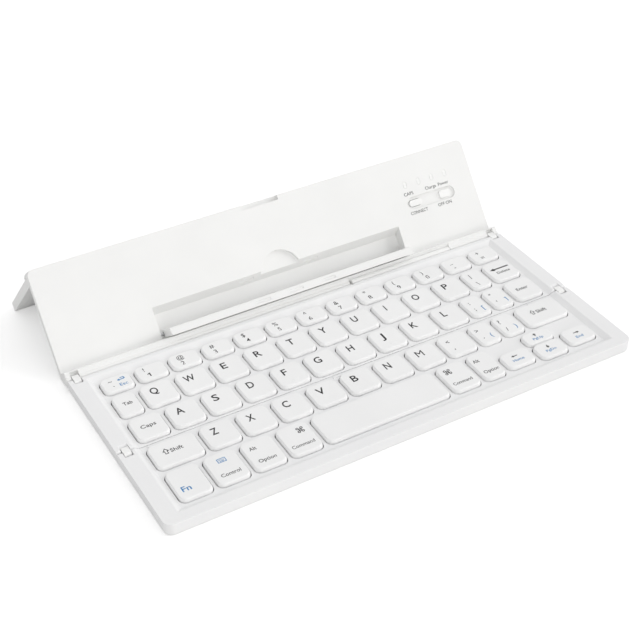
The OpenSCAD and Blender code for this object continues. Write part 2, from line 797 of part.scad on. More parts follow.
// Lid plate, hollow behind its front wall, with the pocket and the controls' recess let in
module lid_plate() {
    difference() {
        union() {
            difference() {
                intersection() {
                    along_x(-half_w, half_w) lid_section();
                    translate([0, 0, -lid_depth]) linear_extrude(lid_depth) lid_plan();
                }
                translate([-cavity_half, cavity_v0, -lid_t - cut])
                    cube([2 * cavity_half, cavity_v1 - cavity_v0, lid_t + cut - front_wall]);
            }
            along_x(-pocket_half - pocket_side, pocket_half + pocket_side)
                pocket_section(pocket_wall, 0);
            translate([0, 0, floor_n]) linear_extrude(recess_floor + seat)
                control_outline(recess_x0, recess_x1, recess_h, recess_floor);
            scoop(scoop_r + front_wall, -scoop_depth - recess_floor, -front_wall + seat);
        }
        along_x(-pocket_half, pocket_half) pocket_section(0, cut);
        scoop(scoop_r, -scoop_depth, cut);
        both_sides() rod(pocket_half - cut, pocket_half + ledge_pin_seat + seat, ledge_v, ledge_n,
            ledge_pin_r + pin_clearance);
        translate([0, 0, -recess_depth]) linear_extrude(recess_depth + cut)
            control_outline(recess_x0, recess_x1, recess_h, 0);
        translate([0, 0, floor_n - cut]) linear_extrude(2 * cut) {
            control_outline(button_x, button_x + button_l, button_h, control_gap);
            stem_slot(control_gap);
        }
        translate([0, 0, -front_wall - cut]) linear_extrude(front_wall + 2 * cut) lamp_outlines(seat);
        both_sides()
            translate([catch_x - catch_l / 2, pocket_v1 - pocket_slant, -pocket_depth / 2 - catch_d])
                cube([catch_l, pocket_slant / 2 + catch_d, 2 * catch_d]);
        translate([-notch_half, lid_h - notch_h, -notch_depth])
            cube([2 * notch_half, notch_h + cut, notch_depth + cut]);
    }
}

// Strip along the lid's top, cut back where the stand turns, with an ear at each side
module stand_cut() {
    ear0 = ear_x - ear_w / 2;
    ear1 = ear_x + ear_w / 2;
    both_sides() along_x(ear1, half_w + cut) stand_room();
    along_x(-ear0, ear0) stand_room();
    both_sides() rod(ear0 - cut, ear1 + cut, stand_v, stand_n, stand_pin_r + pin_clearance);
}

module lid_front() {
    bar_room_d = link_r + cut + bar_y - lid_rear_y;
    color("whitesmoke") {
        on_lid() difference() {
            union() {
                lid_plate();
                both_sides() rod(ear_x - ear_w / 2, ear_x + ear_w / 2, stand_v, stand_n, stand_r);
            }
            stand_cut();
        }
        difference() {
            placed() difference() {
                along_x(-half_w, half_w) spine_section();
                link_windows(lid_rear_y, -1);
                translate([bar_x0 - slot_w, bar_y - bar_room_d, panel_t - bar_t - seat])
                    cube([bar_x1 + bar_clearance + slot_w - bar_x0, bar_room_d, ridge_z]);
            }
            on_lid() along_x(-pocket_half, pocket_half) pocket_section(0, cut);
        }
    }
}

module hinge_cover() {
    color("white") placed() along_x(bar_x0, bar_x1) intersection() {
        union() {
            translate([lid_rear_y, pivot_z]) circle(link_r);
            translate([lid_rear_y, 0]) square([bar_y - bar_clearance - lid_rear_y, panel_t]);
        }
        translate([lid_rear_y - link_r, panel_t - bar_t]) square([2 * bar_y, bar_t]);
    }
}

module lid_back() {
    back_n = -lid_depth;
    inner_n = back_n + housing_wall;
    low_v = cavity_v0 + seat;
    color("whitesmoke") on_lid() difference() {
        union() {
            translate([seat - cavity_half, low_v, -lid_t])
                cube([2 * (cavity_half - seat), cavity_v1 - cavity_v0 - 2 * seat, back_wall]);
            along_x(-housing_half, housing_half) polygon([
                [level_v(ground_gap, -lid_t - seat), -lid_t - seat], [level_v(ground_gap, back_n), back_n],
                [housing_top, back_n], [housing_top, cavity_n], [low_v, cavity_n], [low_v, -lid_t - seat]
            ]);
        }
        along_x(housing_wall - housing_half, housing_half - housing_wall) polygon([
            [level_v(housing_low_z, 0), 0], [level_v(housing_low_z, inner_n), inner_n],
            [housing_top - housing_wall, inner_n], [housing_top - housing_wall, 0]
        ]);
        translate([0, socket_v - seat, socket_n - seat])
            cube([housing_half + cut, socket_w + 2 * seat, socket_t + 2 * seat]);
    }
}

module ledge() {
    tip_n = ledge_n + ledge_l;
    bore_x = pocket_half + ledge_pin_seat - ledge_pin_l - seat;
    color("whitesmoke") on_lid() difference() {
        along_x(-ledge_half, ledge_half) {
            translate([ledge_v, ledge_n]) circle(ledge_r);
            polygon([
                [ledge_v - ledge_r, ledge_n], [ledge_v + ledge_r, ledge_n],
                [ledge_v + ledge_r, tip_n - ledge_slant], [ledge_v - ledge_r, tip_n]
            ]);
        }
        both_sides()
            rod(bore_x, ledge_half + cut, ledge_v, ledge_n, ledge_pin_r + pin_clearance);
        for (x = [-catch_x, 0, catch_x]) {
            translate([x - catch_l / 2, ledge_v - catch_d, tip_n - ledge_slant / 2 - catch_d])
                cube([catch_l, 2 * catch_d, ledge_slant]);
        }
    }
}

module ledge_pins() {
    outer = pocket_half + ledge_pin_seat;
    color("silver") on_lid() both_sides() rod(outer - ledge_pin_l, outer, ledge_v, ledge_n, ledge_pin_r);
}

module kickstand() {
    ear_room = ear_w / 2 + stand_gap;
    color("whitesmoke") on_lid() translate([0, stand_v, stand_n]) rotate([stand_open, 0, 0]) difference() {
        union() {
            along_x(-half_w, half_w) {
                circle(stand_r);
                translate([-stand_bar, -stand_r]) square([stand_bar, stand_t]);
            }
            both_sides() translate([leg_x, -stand_l, -stand_r])
                cube([half_w - leg_x, stand_l, stand_t]);
        }
        both_sides() translate([ear_x - ear_room, -stand_r - 2 * stand_gap, -stand_r - cut])
            cube([2 * ear_room, 2 * stand_t, stand_t + 2 * cut]);
        both_sides() rod(ear_x - stand_pin_l / 2 - seat, ear_x + stand_pin_l / 2 + seat, 0, 0,
            stand_pin_r + pin_clearance);
    }
}

module kickstand_pins() {
    color("silver") on_lid() both_sides()
        rod(ear_x - stand_pin_l / 2, ear_x + stand_pin_l / 2, stand_v, stand_n, stand_pin_r);
}

module lamp_windows() {
    color("ivory") on_lid() translate([0, 0, board_top_n + seat])
        linear_extrude(-board_top_n - seat) lamp_outlines(0);
}

module connect_button() {
    low_n = board_top_n + switch_t + seat + button_travel;
    color("white") on_lid() translate([0, 0, low_n]) linear_extrude(-control_sink - low_n)
        control_outline(button_x, button_x + button_l, button_h, 0);
}

module power_slider() {
    low_n = -recess_depth + seat;
    color("white") on_lid() {
        translate([slider_x, recess_v - slider_h / 2, low_n])
            linear_extrude(-control_sink - low_n) rounded(slider_l, slider_h, 0.8);
        translate([slider_mid - stem_l / 2, recess_v - stem_h / 2, board_top_n + 2 * seat])
            cube([stem_l, stem_h, low_n - board_top_n]);
    }
}

module connect_switch() {
    color("silver") on_lid() translate([button_x + button_l / 2, recess_v, board_top_n])
        cylinder(r = button_h / 2, h = switch_t);
}

module power_switch() {
    color("dimgray") on_lid() translate([0, 0, board_top_n]) linear_extrude(floor_n - seat - board_top_n)
        difference() {
            translate([slider_mid - slider_l - slider_travel / 2, recess_v - slider_h / 2])
                square([2 * slider_l, slider_h]);
            stem_slot(control_gap);
        }
}

module circuit_board() {
    color("seagreen") on_lid() translate([board_x0, battery_v, board_n])
        cube([recess_x1 + lamp_pitch / 2 - board_x0, lamp_v + lamp_h - battery_v, board_t]);
}

module battery() {
    color("lightslategray") on_lid() translate([battery_x0, battery_v, battery_n])
        cube([board_x0 - battery_gap - battery_x0, battery_h, battery_t]);
}

module charge_socket() {
    color("silver") on_lid() translate([housing_half - socket_l, socket_v, socket_n]) difference() {
        cube([socket_l, socket_w, socket_t]);
        translate([socket_wall, socket_wall, socket_wall])
            cube([socket_l, socket_w - 2 * socket_wall, socket_t - 2 * socket_wall]);
    }
}

// One hollow key cap with bevelled edges and a post over its dome
module keycap(b) {
    right = b[0] + b[2];
    rear = b[1] + b[3];
    bevel_z = key_top_z - bevel_height;
    difference() {
        intersection() {
            translate([b[0], b[1], key_low_z]) linear_extrude(key_height) rounded(b[2], b[3], corner(b));
            along_y(b[1], rear) polygon([
                [b[0], key_low_z], [right, key_low_z], [right, bevel_z], [right - bevel_side, key_top_z],
                [b[0] + bevel_side, key_top_z], [b[0], bevel_z]
            ]);
            along_x(b[0], right) polygon([
                [b[1], key_low_z], [rear, key_low_z], [rear, bevel_z], [rear - bevel_rear, key_top_z],
                [b[1] + bevel_front, key_top_z], [b[1], bevel_z]
            ]);
        }
        translate([b[0] + key_wall, b[1] + key_wall, key_low_z - cut])
            linear_extrude(bevel_z - key_low_z + cut)
                rounded(b[2] - 2 * key_wall, b[3] - 2 * key_wall, corner(b) - key_wall);
    }
    translate([b[0] + b[2] / 2, b[1] + b[3] / 2, key_low_z])
        cylinder(r = dome_r / 2, h = bevel_z - key_low_z);
}

// Key caps for a list of places
module keys(boxes) {
    color("white") placed() for (b = boxes) keycap(b);
}

module key_escape() {
    keys(key_run(number_row, 0, 0, number_y, number_h));
}

module number_keys() {
    keys(key_run(number_row, 1, 12, number_y, number_h));
}

module key_tab() {
    keys(key_run(top_row, 0, 0, top_y, letter_h));
}

module top_letter_keys() {
    keys(key_run(top_row, 1, 10, top_y, letter_h));
}

module key_slash() {
    keys(key_run(top_row, 11, 11, top_y, letter_h));
}

module key_delete() {
    keys(key_run(top_row, 12, 12, top_y, letter_h));
}

module key_caps() {
    keys(key_run(home_row, 0, 0, home_y, letter_h));
}

module home_letter_keys() {
    keys(key_run(home_row, 1, 9, home_y, letter_h));
}

module key_semicolon() {
    keys(key_run(home_row, 10, 10, home_y, letter_h));
}

module key_quote() {
    keys(key_run(home_row, 11, 11, home_y, letter_h));
}

module key_enter() {
    keys(key_run(home_row, 12, 12, home_y, letter_h));
}

module key_left_shift() {
    keys(key_run(lower_row, 0, 0, lower_y, letter_h));
}

module lower_letter_keys() {
    keys(key_run(lower_row, 1, 7, lower_y, letter_h));
}

module key_comma() {
    keys(key_run(lower_row, 8, 8, lower_y, letter_h));
}

module key_period() {
    keys(key_run(lower_row, 9, 9, lower_y, letter_h));
}

module key_question() {
    keys(key_run(lower_row, 10, 10, lower_y, letter_h));
}

module key_right_shift() {
    keys(key_run(lower_row, 11, 11, lower_y, letter_h));
}

module key_fn() {
    keys(key_run(space_row, 0, 0, space_y, space_h));
}

module key_control() {
    keys(key_run(space_row, 1, 1, space_y, space_h));
}

module key_left_alt() {
    keys(key_run(space_row, 2, 2, space_y, space_h));
}

module key_left_command() {
    keys(key_run(space_row, 3, 3, space_y, space_h));
}

module key_space() {
    keys(key_run(space_row, 4, 4, space_y, space_h));
}

module key_right_command() {
    keys(key_run(space_row, 5, 5, space_y, space_h));
}

module key_right_alt() {
    keys(key_run(space_row, 6, 6, space_y, space_h));
}

module key_home() {
    keys([home_box]);
}

module key_up() {
    keys([up_box]);
}

module key_down() {
    keys([down_box]);
}

module key_end() {
    keys([end_box]);
}

front_frame();
front_cover();
front_circuit();
middle_frame();
middle_cover();
middle_circuit();
fold_links();
fold_pins();
lid_links();
lid_pins();
lid_front();
hinge_cover();
lid_back();
ledge();
ledge_pins();
kickstand();
kickstand_pins();
lamp_windows();
connect_button();
power_slider();
connect_switch();
power_switch();
circuit_board();
battery();
charge_socket();
key_escape();
number_keys();
key_tab();
top_letter_keys();
key_slash();
key_delete();
key_caps();
home_letter_keys();
key_semicolon();
key_quote();
key_enter();
key_left_shift();
lower_letter_keys();
key_comma();
key_period();
key_question();
key_right_shift();
key_fn();
key_control();
key_left_alt();
key_left_command();
key_space();
key_right_command();
key_right_alt();
key_home();
key_up();
key_down();
key_end();
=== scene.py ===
"""A white folding keyboard with a tablet stand in its lid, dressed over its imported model."""

import json
import logging
import math
from dataclasses import dataclass, field
from enum import Enum
from typing import Any

import bmesh
import bpy
from mathutils import Matrix, Vector


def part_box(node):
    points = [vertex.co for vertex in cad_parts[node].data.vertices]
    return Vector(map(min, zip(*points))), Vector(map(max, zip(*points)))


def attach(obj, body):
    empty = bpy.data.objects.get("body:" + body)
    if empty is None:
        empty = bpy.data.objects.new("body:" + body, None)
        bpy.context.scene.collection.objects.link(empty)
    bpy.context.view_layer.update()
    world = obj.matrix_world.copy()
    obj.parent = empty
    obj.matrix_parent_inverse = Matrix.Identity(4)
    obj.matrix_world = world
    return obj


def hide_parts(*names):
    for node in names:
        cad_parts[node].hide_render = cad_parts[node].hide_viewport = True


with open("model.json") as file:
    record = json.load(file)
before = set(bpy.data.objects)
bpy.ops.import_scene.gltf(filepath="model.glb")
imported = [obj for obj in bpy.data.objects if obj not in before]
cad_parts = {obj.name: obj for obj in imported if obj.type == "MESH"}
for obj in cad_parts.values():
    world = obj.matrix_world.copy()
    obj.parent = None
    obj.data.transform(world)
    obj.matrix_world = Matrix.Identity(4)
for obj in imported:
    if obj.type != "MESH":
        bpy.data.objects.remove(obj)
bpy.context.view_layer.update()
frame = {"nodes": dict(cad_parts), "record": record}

MM = 0.001
LID_FOOT = Vector((0.0, 32.349, 3.794)) * MM
LID_TILT = math.radians(51.75)

# Edge roundings of the mouldings, in millimetres
EDGE_RADII = {
    "front_frame": 0.12, "middle_frame": 0.15, "front_cover": 0.2, "middle_cover": 0.2,
    "fold_links": 0.1, "lid_links": 0.1, "lid_front": 0.12, "lid_back": 0.12, "kickstand": 0.2,
    "ledge": 0.2, "hinge_cover": 0.15, "connect_button": 0.15, "power_slider": 0.15, "lamp_windows": 0.12,
}

log = logging.getLogger("keyboard")


def node_bodies() -> dict[str, str]:
    """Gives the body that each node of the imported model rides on.

    Returns:
        The body's name for each node's name.
    """
    bodies = frame["record"]["behaviour"]["bodies"]
    return {node: body for body, nodes in bodies.items() for node in nodes}


BODY_OF = node_bodies()


class Ink(Enum):
    """The two inks of the print."""

    DARK = "dark"
    BLUE = "blue"


class Value:
    """A node's output socket that takes part in sums as a number does."""

    def __init__(self, graph: "Graph", socket: bpy.types.NodeSocket) -> None:
        """Holds the socket and the graph that new nodes go to."""
        self.graph = graph
        self.socket = socket

    def _sum(self, operation: str, *terms: Any) -> "Value":
        """Adds a Math node.

        Args:
            operation: the Math node's operation.
            terms: numbers or values, in the order of its sockets.

        Returns:
            The node's result.
        """
        return self.graph.add("Math", {"operation": operation}, dict(enumerate(terms)))

    def __add__(self, other: Any) -> "Value":
        """Gives self + other."""
        return self._sum("ADD", self, other)

    __radd__ = __add__

    def __sub__(self, other: Any) -> "Value":
        """Gives self - other."""
        return self._sum("SUBTRACT", self, other)

    def __rsub__(self, other: Any) -> "Value":
        """Gives other - self."""
        return self._sum("SUBTRACT", other, self)

    def __mul__(self, other: Any) -> "Value":
        """Gives self * other."""
        return self._sum("MULTIPLY", self, other)

    __rmul__ = __mul__

    def __truediv__(self, other: Any) -> "Value":
        """Gives self / other."""
        return self._sum("DIVIDE", self, other)


class Graph:
    """A shader or geometry node tree and the nodes added to it."""

    def __init__(self, tree: bpy.types.NodeTree, prefix: str) -> None:
        """Holds the tree and the prefix of its own node types."""
        self.tree = tree
        self.prefix = prefix

    def add(self, kind: str, settings: dict[str, Any], sockets: dict[Any, Any], out: Any = 0) -> Value:
        """Adds one node.

        Args:
            kind: the node's type, without its prefix.
            settings: the node's properties, set before its sockets.
            sockets: the values or links of its inputs, by name or number.
            out: the name or number of the output to give back.

        Returns:
            The chosen output.
        """
        shared = kind in ("Math", "VectorMath", "SeparateXYZ", "CombineXYZ")
        node = self.tree.nodes.new(("ShaderNode" if shared else self.prefix) + kind)
        for key, value in settings.items():
            setattr(node, key, value)
        for key, value in sockets.items():
            target = node.inputs[key]
            if isinstance(value, Value):
                self.tree.links.new(value.socket, target)
            else:
                target.default_value = value
        return Value(self, node.outputs[out])

    def ramp(self, factor: Value, stops: list[tuple[float, tuple[float, ...]]]) -> Value:
        """Adds a Color Ramp.

        Args:
            factor: what the ramp is read by.
            stops: pairs of a position and a colour.

        Returns:
            The ramp's colour.
        """
        node = self.tree.nodes.new("ShaderNodeValToRGB")
        elements = node.color_ramp.elements
        while len(elements) < len(stops):
            elements.new(1.0)
        for element, (position, colour) in zip(elements, stops):
            element.position = position
            element.color = (*colour, 1.0)
        self.tree.links.new(factor.socket, node.inputs["Fac"])
        return Value(self, node.outputs["Color"])


def linear(code: str) -> tuple[float, float, float]:
    """Turns a colour into linear light.

    Args:
        code: the colour, as six hexadecimal digits.

    Returns:
        Its red, green and blue.
    """
    channels = [int(code[i : i + 2], 16) / 255 for i in (0, 2, 4)]
    return tuple(c / 12.92 if c <= 0.04045 else ((c + 0.055) / 1.055) ** 2.4 for c in channels)


def new_surface(name: str) -> tuple[bpy.types.Material, Graph, bpy.types.Node]:
    """Starts a material.

    Args:
        name: the material's name.

    Returns:
        The material, its graph and its Principled node.
    """
    material = bpy.data.materials.new(name)
    material.use_nodes = True
    shader = material.node_tree.nodes["Principled BSDF"]
    return material, Graph(material.node_tree, "ShaderNode"), shader


@dataclass(frozen=True)
class MouldedPlastic:
    """Matt moulded plastic with a fine spark-eroded grain and slight unevenness of tone."""

    name: str
    colour: str
    shade: str
    roughness: float = 0.46
    grain: float = 5200.0
    depth: float = 0.011
    relief: float = 0.22

    def build(self) -> bpy.types.Material:
        """Builds the material."""
        material, graph, shader = new_surface(self.name)
        place = graph.add("TexCoord", {}, {}, "Object")
        cloud = graph.add("TexNoise", {}, {"Vector": place, "Scale": 38.0, "Detail": 3.0})
        fine = graph.add("TexNoise", {}, {"Vector": place, "Scale": self.grain, "Detail": 2.0})
        wave = graph.add("TexNoise", {}, {"Vector": place, "Scale": 160.0, "Detail": 1.0})
        tone = graph.ramp(cloud, [(0.25, linear(self.shade)), (0.75, linear(self.colour))])
        rough = self.roughness + (fine - 0.5) * 0.1 + (cloud - 0.5) * 0.05
        height = fine * 0.8 + wave * 0.4
        bump = graph.add(
            "Bump", {}, {"Strength": self.relief, "Distance": self.depth * MM, "Height": height}, "Normal"
        )
        graph.tree.links.new(tone.socket, shader.inputs["Base Color"])
        graph.tree.links.new(rough.socket, shader.inputs["Roughness"])
        graph.tree.links.new(bump.socket, shader.inputs["Normal"])
        shader.inputs["IOR"].default_value = 1.46
        return material


@dataclass(frozen=True)
class PrintedInk:
    """Thin printed ink, slightly uneven where it lies on the plastic's grain."""

    name: str
    colour: str
    thin: str

    def build(self) -> bpy.types.Material:
        """Builds the material."""
        material, graph, shader = new_surface(self.name)
        place = graph.add("TexCoord", {}, {}, "Object")
        specks = graph.add("TexNoise", {}, {"Vector": place, "Scale": 6500.0, "Detail": 2.0})
        tone = graph.ramp(specks, [(0.3, linear(self.colour)), (0.75, linear(self.thin))])
        rough = 0.5 + (specks - 0.5) * 0.2
        graph.tree.links.new(tone.socket, shader.inputs["Base Color"])
        graph.tree.links.new(rough.socket, shader.inputs["Roughness"])
        return material


@dataclass(frozen=True)
class DrawnSteel:
    """Bright drawn steel with fine lines across its length."""

    name: str = "pin steel"

    def build(self) -> bpy.types.Material:
        """Builds the material."""
        material, graph, shader = new_surface(self.name)
        place = graph.add("TexCoord", {}, {}, "Object")
        stretched = graph.add("Mapping", {}, {"Vector": place, "Scale": (9000.0, 400.0, 400.0)})
        lines = graph.add("TexNoise", {}, {"Vector": stretched, "Scale": 1.0, "Detail": 2.0})
        tone = graph.ramp(lines, [(0.3, linear("B9BBBD")), (0.7, linear("D2D3D4"))])
        rough = 0.26 + (lines - 0.5) * 0.18
        bump = graph.add("Bump", {}, {"Strength": 0.3, "Distance": 0.004 * MM, "Height": lines}, "Normal")
        graph.tree.links.new(tone.socket, shader.inputs["Base Color"])
        graph.tree.links.new(rough.socket, shader.inputs["Roughness"])
        graph.tree.links.new(bump.socket, shader.inputs["Normal"])
        shader.inputs["Metallic"].default_value = 1.0
        return material


@dataclass(frozen=True)
class ClearLens:
    """Milky moulded lens of an indicator lamp, with a slight haze."""

    name: str = "lamp lens"

    def build(self) -> bpy.types.Material:
        """Builds the material."""
        material, graph, shader = new_surface(self.name)
        place = graph.add("TexCoord", {}, {}, "Object")
        haze = graph.add("TexNoise", {}, {"Vector": place, "Scale": 900.0, "Detail": 3.0})
        tone = graph.ramp(haze, [(0.3, linear("FBFBFA")), (0.7, linear("F2F2F1"))])
        rough = 0.16 + (haze - 0.5) * 0.08
        graph.tree.links.new(tone.socket, shader.inputs["Base Color"])
        graph.tree.links.new(rough.socket, shader.inputs["Roughness"])
        shader.inputs["Coat Weight"].default_value = 0.6
        return material


@dataclass(frozen=True)
class SiliconeSheet:
    """Soft matt silicone of the dome sheets."""

    name: str = "dome sheet"

    def build(self) -> bpy.types.Material:
        """Builds the material."""
        material, graph, shader = new_surface(self.name)
        place = graph.add("TexCoord", {}, {}, "Object")
        dust = graph.add("TexNoise", {}, {"Vector": place, "Scale": 1400.0, "Detail": 4.0})
        tone = graph.ramp(dust, [(0.35, linear("4B4C4E")), (0.75, linear("5A5B5D"))])
        rough = 0.7 + (dust - 0.5) * 0.2
        bump = graph.add("Bump", {}, {"Strength": 0.3, "Distance": 0.02 * MM, "Height": dust}, "Normal")
        graph.tree.links.new(tone.socket, shader.inputs["Base Color"])
        graph.tree.links.new(rough.socket, shader.inputs["Roughness"])
        graph.tree.links.new(bump.socket, shader.inputs["Normal"])
        return material


@dataclass(frozen=True)
class BoardLaminate:
    """Green solder mask over a woven glass board."""

    name: str = "board laminate"

    def build(self) -> bpy.types.Material:
        """Builds the material."""
        material, graph, shader = new_surface(self.name)
        place = graph.add("TexCoord", {}, {}, "Object")
        threads = {"Vector": place, "Scale": 260.0}
        along = graph.add("TexWave", {"wave_type": "BANDS", "bands_direction": "X"}, threads, "Fac")
        across = graph.add("TexWave", {"wave_type": "BANDS", "bands_direction": "Y"}, threads, "Fac")
        cross = along * across
        tone = graph.ramp(cross, [(0.2, linear("1F5A3B")), (0.8, linear("2A6D49"))])
        bump = graph.add("Bump", {}, {"Strength": 0.3, "Distance": 0.01 * MM, "Height": cross}, "Normal")
        graph.tree.links.new(tone.socket, shader.inputs["Base Color"])
        graph.tree.links.new(bump.socket, shader.inputs["Normal"])
        shader.inputs["Roughness"].default_value = 0.34
        return material


@dataclass(frozen=True)
class CellWrap:
    """Crinkled laminated foil of the battery's pouch."""

    name: str = "cell pouch"

    def build(self) -> bpy.types.Material:
        """Builds the material."""
        material, graph, shader = new_surface(self.name)
        place = graph.add("TexCoord", {}, {}, "Object")
        crinkle = graph.add("TexNoise", {}, {"Vector": place, "Scale": 420.0, "Detail": 5.0})
        tone = graph.ramp(crinkle, [(0.3, linear("A9ABAE")), (0.7, linear("C6C8CA"))])
        bump = graph.add("Bump", {}, {"Strength": 0.5, "Distance": 0.06 * MM, "Height": crinkle}, "Normal")
        graph.tree.links.new(tone.socket, shader.inputs["Base Color"])
        graph.tree.links.new(bump.socket, shader.inputs["Normal"])
        shader.inputs["Metallic"].default_value = 0.85
        shader.inputs["Roughness"].default_value = 0.38
        return material


class Finishes:
    """Every finish of the keyboard, built once."""

    def __init__(self) -> None:
        """Builds the materials."""
        self.frame = MouldedPlastic("panel frame", "F1F1F1", "EDEDEE").build()
        self.cover = MouldedPlastic("panel cover", "EFEFEE", "EAEAEA", roughness=0.52).build()
        self.lid = MouldedPlastic("lid shell", "F1F1F0", "EDEDEC", roughness=0.48).build()
        self.bright = MouldedPlastic("small mouldings", "F6F6F5", "F2F2F1", roughness=0.4).build()
        self.cap = MouldedPlastic("key cap", "F4F4F4", "F0F0F0", roughness=0.38, grain=6800.0).build()
        self.dark_ink = PrintedInk("dark print", "19191B", "2A2A2C").build()
        self.blue_ink = PrintedInk("blue print", "1F77B4", "3F8CC2").build()
        self.steel = DrawnSteel().build()
        self.lens = ClearLens().build()
        self.sheet = SiliconeSheet().build()
        self.board = BoardLaminate().build()
        self.cell = CellWrap().build()


def add_object(name: str, mesh: bpy.types.Mesh) -> bpy.types.Object:
    """Adds an object to the scene, at the origin.

    Args:
        name: the object's name.
        mesh: its mesh.

    Returns:
        The object.
    """
    piece = bpy.data.objects.new(name, mesh)
    bpy.context.scene.collection.objects.link(piece)
    return piece


def smooth(mesh: bpy.types.Mesh, degrees: float) -> None:
    """Shades a mesh smooth, but for its sharp edges.

    Args:
        mesh: the mesh.
        degrees: the angle from which an edge counts as sharp.
    """
    mesh.polygons.foreach_set("use_smooth", [True] * len(mesh.polygons))
    mesh.set_sharp_from_angle(angle=math.radians(degrees))
    mesh.update()


def flatten_faces(piece: bpy.types.Object, mesh: bpy.types.Mesh) -> None:
    """Gives a piece flat broad faces between its soft edges.

    Args:
        piece: the piece, whose mesh is replaced.
        mesh: its mesh, shaded smooth.
    """
    weigh = piece.modifiers.new("weigh", "WEIGHTED_NORMAL")
    weigh.mode = "FACE_AREA"
    weigh.weight = 100
    weigh.keep_sharp = True
    bpy.context.view_layer.update()
    done = bpy.data.meshes.new_from_object(piece.evaluated_get(bpy.context.evaluated_depsgraph_get()))
    piece.modifiers.remove(weigh)
    name = mesh.name
    piece.data = done
    bpy.data.meshes.remove(mesh)
    done.name = name


def merged_copy(node: str) -> bmesh.types.BMesh:
    """Copies a node's mesh and joins its loose triangles into whole faces.

    Args:
        node: the node's name.

    Returns:
        The copy.
    """
    shape = bmesh.new()
    shape.from_mesh(frame["nodes"][node].data)
    bmesh.ops.remove_doubles(shape, verts=shape.verts, dist=0.002 * MM)
    bmesh.ops.dissolve_limit(
        shape, angle_limit=math.radians(0.4), verts=shape.verts, edges=shape.edges, delimit=set()
    )
    return shape


def part_at(shape: bmesh.types.BMesh, point: Vector, normal: Vector) -> None:
    """Parts a mesh's faces along a plane, so that each face keeps a simple outline.

    Args:
        shape: the mesh.
        point: a point of the plane.
        normal: the plane's normal.
    """
    geometry = [*shape.verts, *shape.edges, *shape.faces]
    bmesh.ops.bisect_plane(shape, geom=geometry, dist=0.001 * MM, plane_co=point, plane_no=normal)
    bmesh.ops.remove_doubles(shape, verts=shape.verts, dist=0.004 * MM)
    bmesh.ops.dissolve_degenerate(shape, dist=0.001 * MM, edges=shape.edges)


def solids(shape: bmesh.types.BMesh) -> list[list[bmesh.types.BMVert]]:
    """Lists the separate solids of a mesh.

    Args:
        shape: the mesh.

    Returns:
        The vertices of each solid.
    """
    seen = set()
    groups = []
    for start in shape.verts:
        if start in seen:
            continue
        seen.add(start)
        group = [start]
        for vertex in group:
            for edge in vertex.link_edges:
                other = edge.other_vert(vertex)
                if other not in seen:
                    seen.add(other)
                    group.append(other)
        groups.append(group)
    return groups


@dataclass
class SoftenedMoulding:
    """A moulded part whose sharp edges are given the small rounding of its mould."""

    node: str
    segments: int = 2
    corner: float = 30.0
    partings: tuple[tuple[Vector, Vector], ...] = ()

    def build(self, finish: bpy.types.Material, slot: str) -> bpy.types.Object:
        """Builds the part in place of its node.

        Args:
            finish: the part's material.
            slot: a name for the material's slot; not used.

        Returns:
            The finished piece.
        """
        shape = merged_copy(self.node)
        for point, normal in self.partings:
            part_at(shape, point, normal)
        limit = math.radians(self.corner)
        edges = [e for e in shape.edges if e.is_manifold and e.calc_face_angle(0.0) > limit]
        bmesh.ops.bevel(
            shape,
            geom=edges,
            offset=EDGE_RADII[self.node] * MM,
            offset_type="OFFSET",
            segments=self.segments,
            profile=0.5,
            affect="EDGES",
            clamp_overlap=False,
            miter_outer="SHARP",
            miter_inner="SHARP",
        )
        mesh = bpy.data.meshes.new(self.node + "_moulding")
        shape.to_mesh(mesh)
        shape.free()
        mesh.materials.append(finish)
        smooth(mesh, 50.0)
        piece = add_object(self.node + "_moulding", mesh)
        flatten_faces(piece, mesh)
        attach(piece, BODY_OF[self.node])
        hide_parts(self.node)
        return piece


def dress(node: str, finish: bpy.types.Material) -> None:
    """Gives a node that keeps its shape its finish.

    Args:
        node: the node's name.
        finish: its material.
    """
    mesh = frame["nodes"][node].data
    mesh.materials.clear()
    mesh.materials.append(finish)
    mesh.polygons.foreach_set("material_index", [0] * len(mesh.polygons))


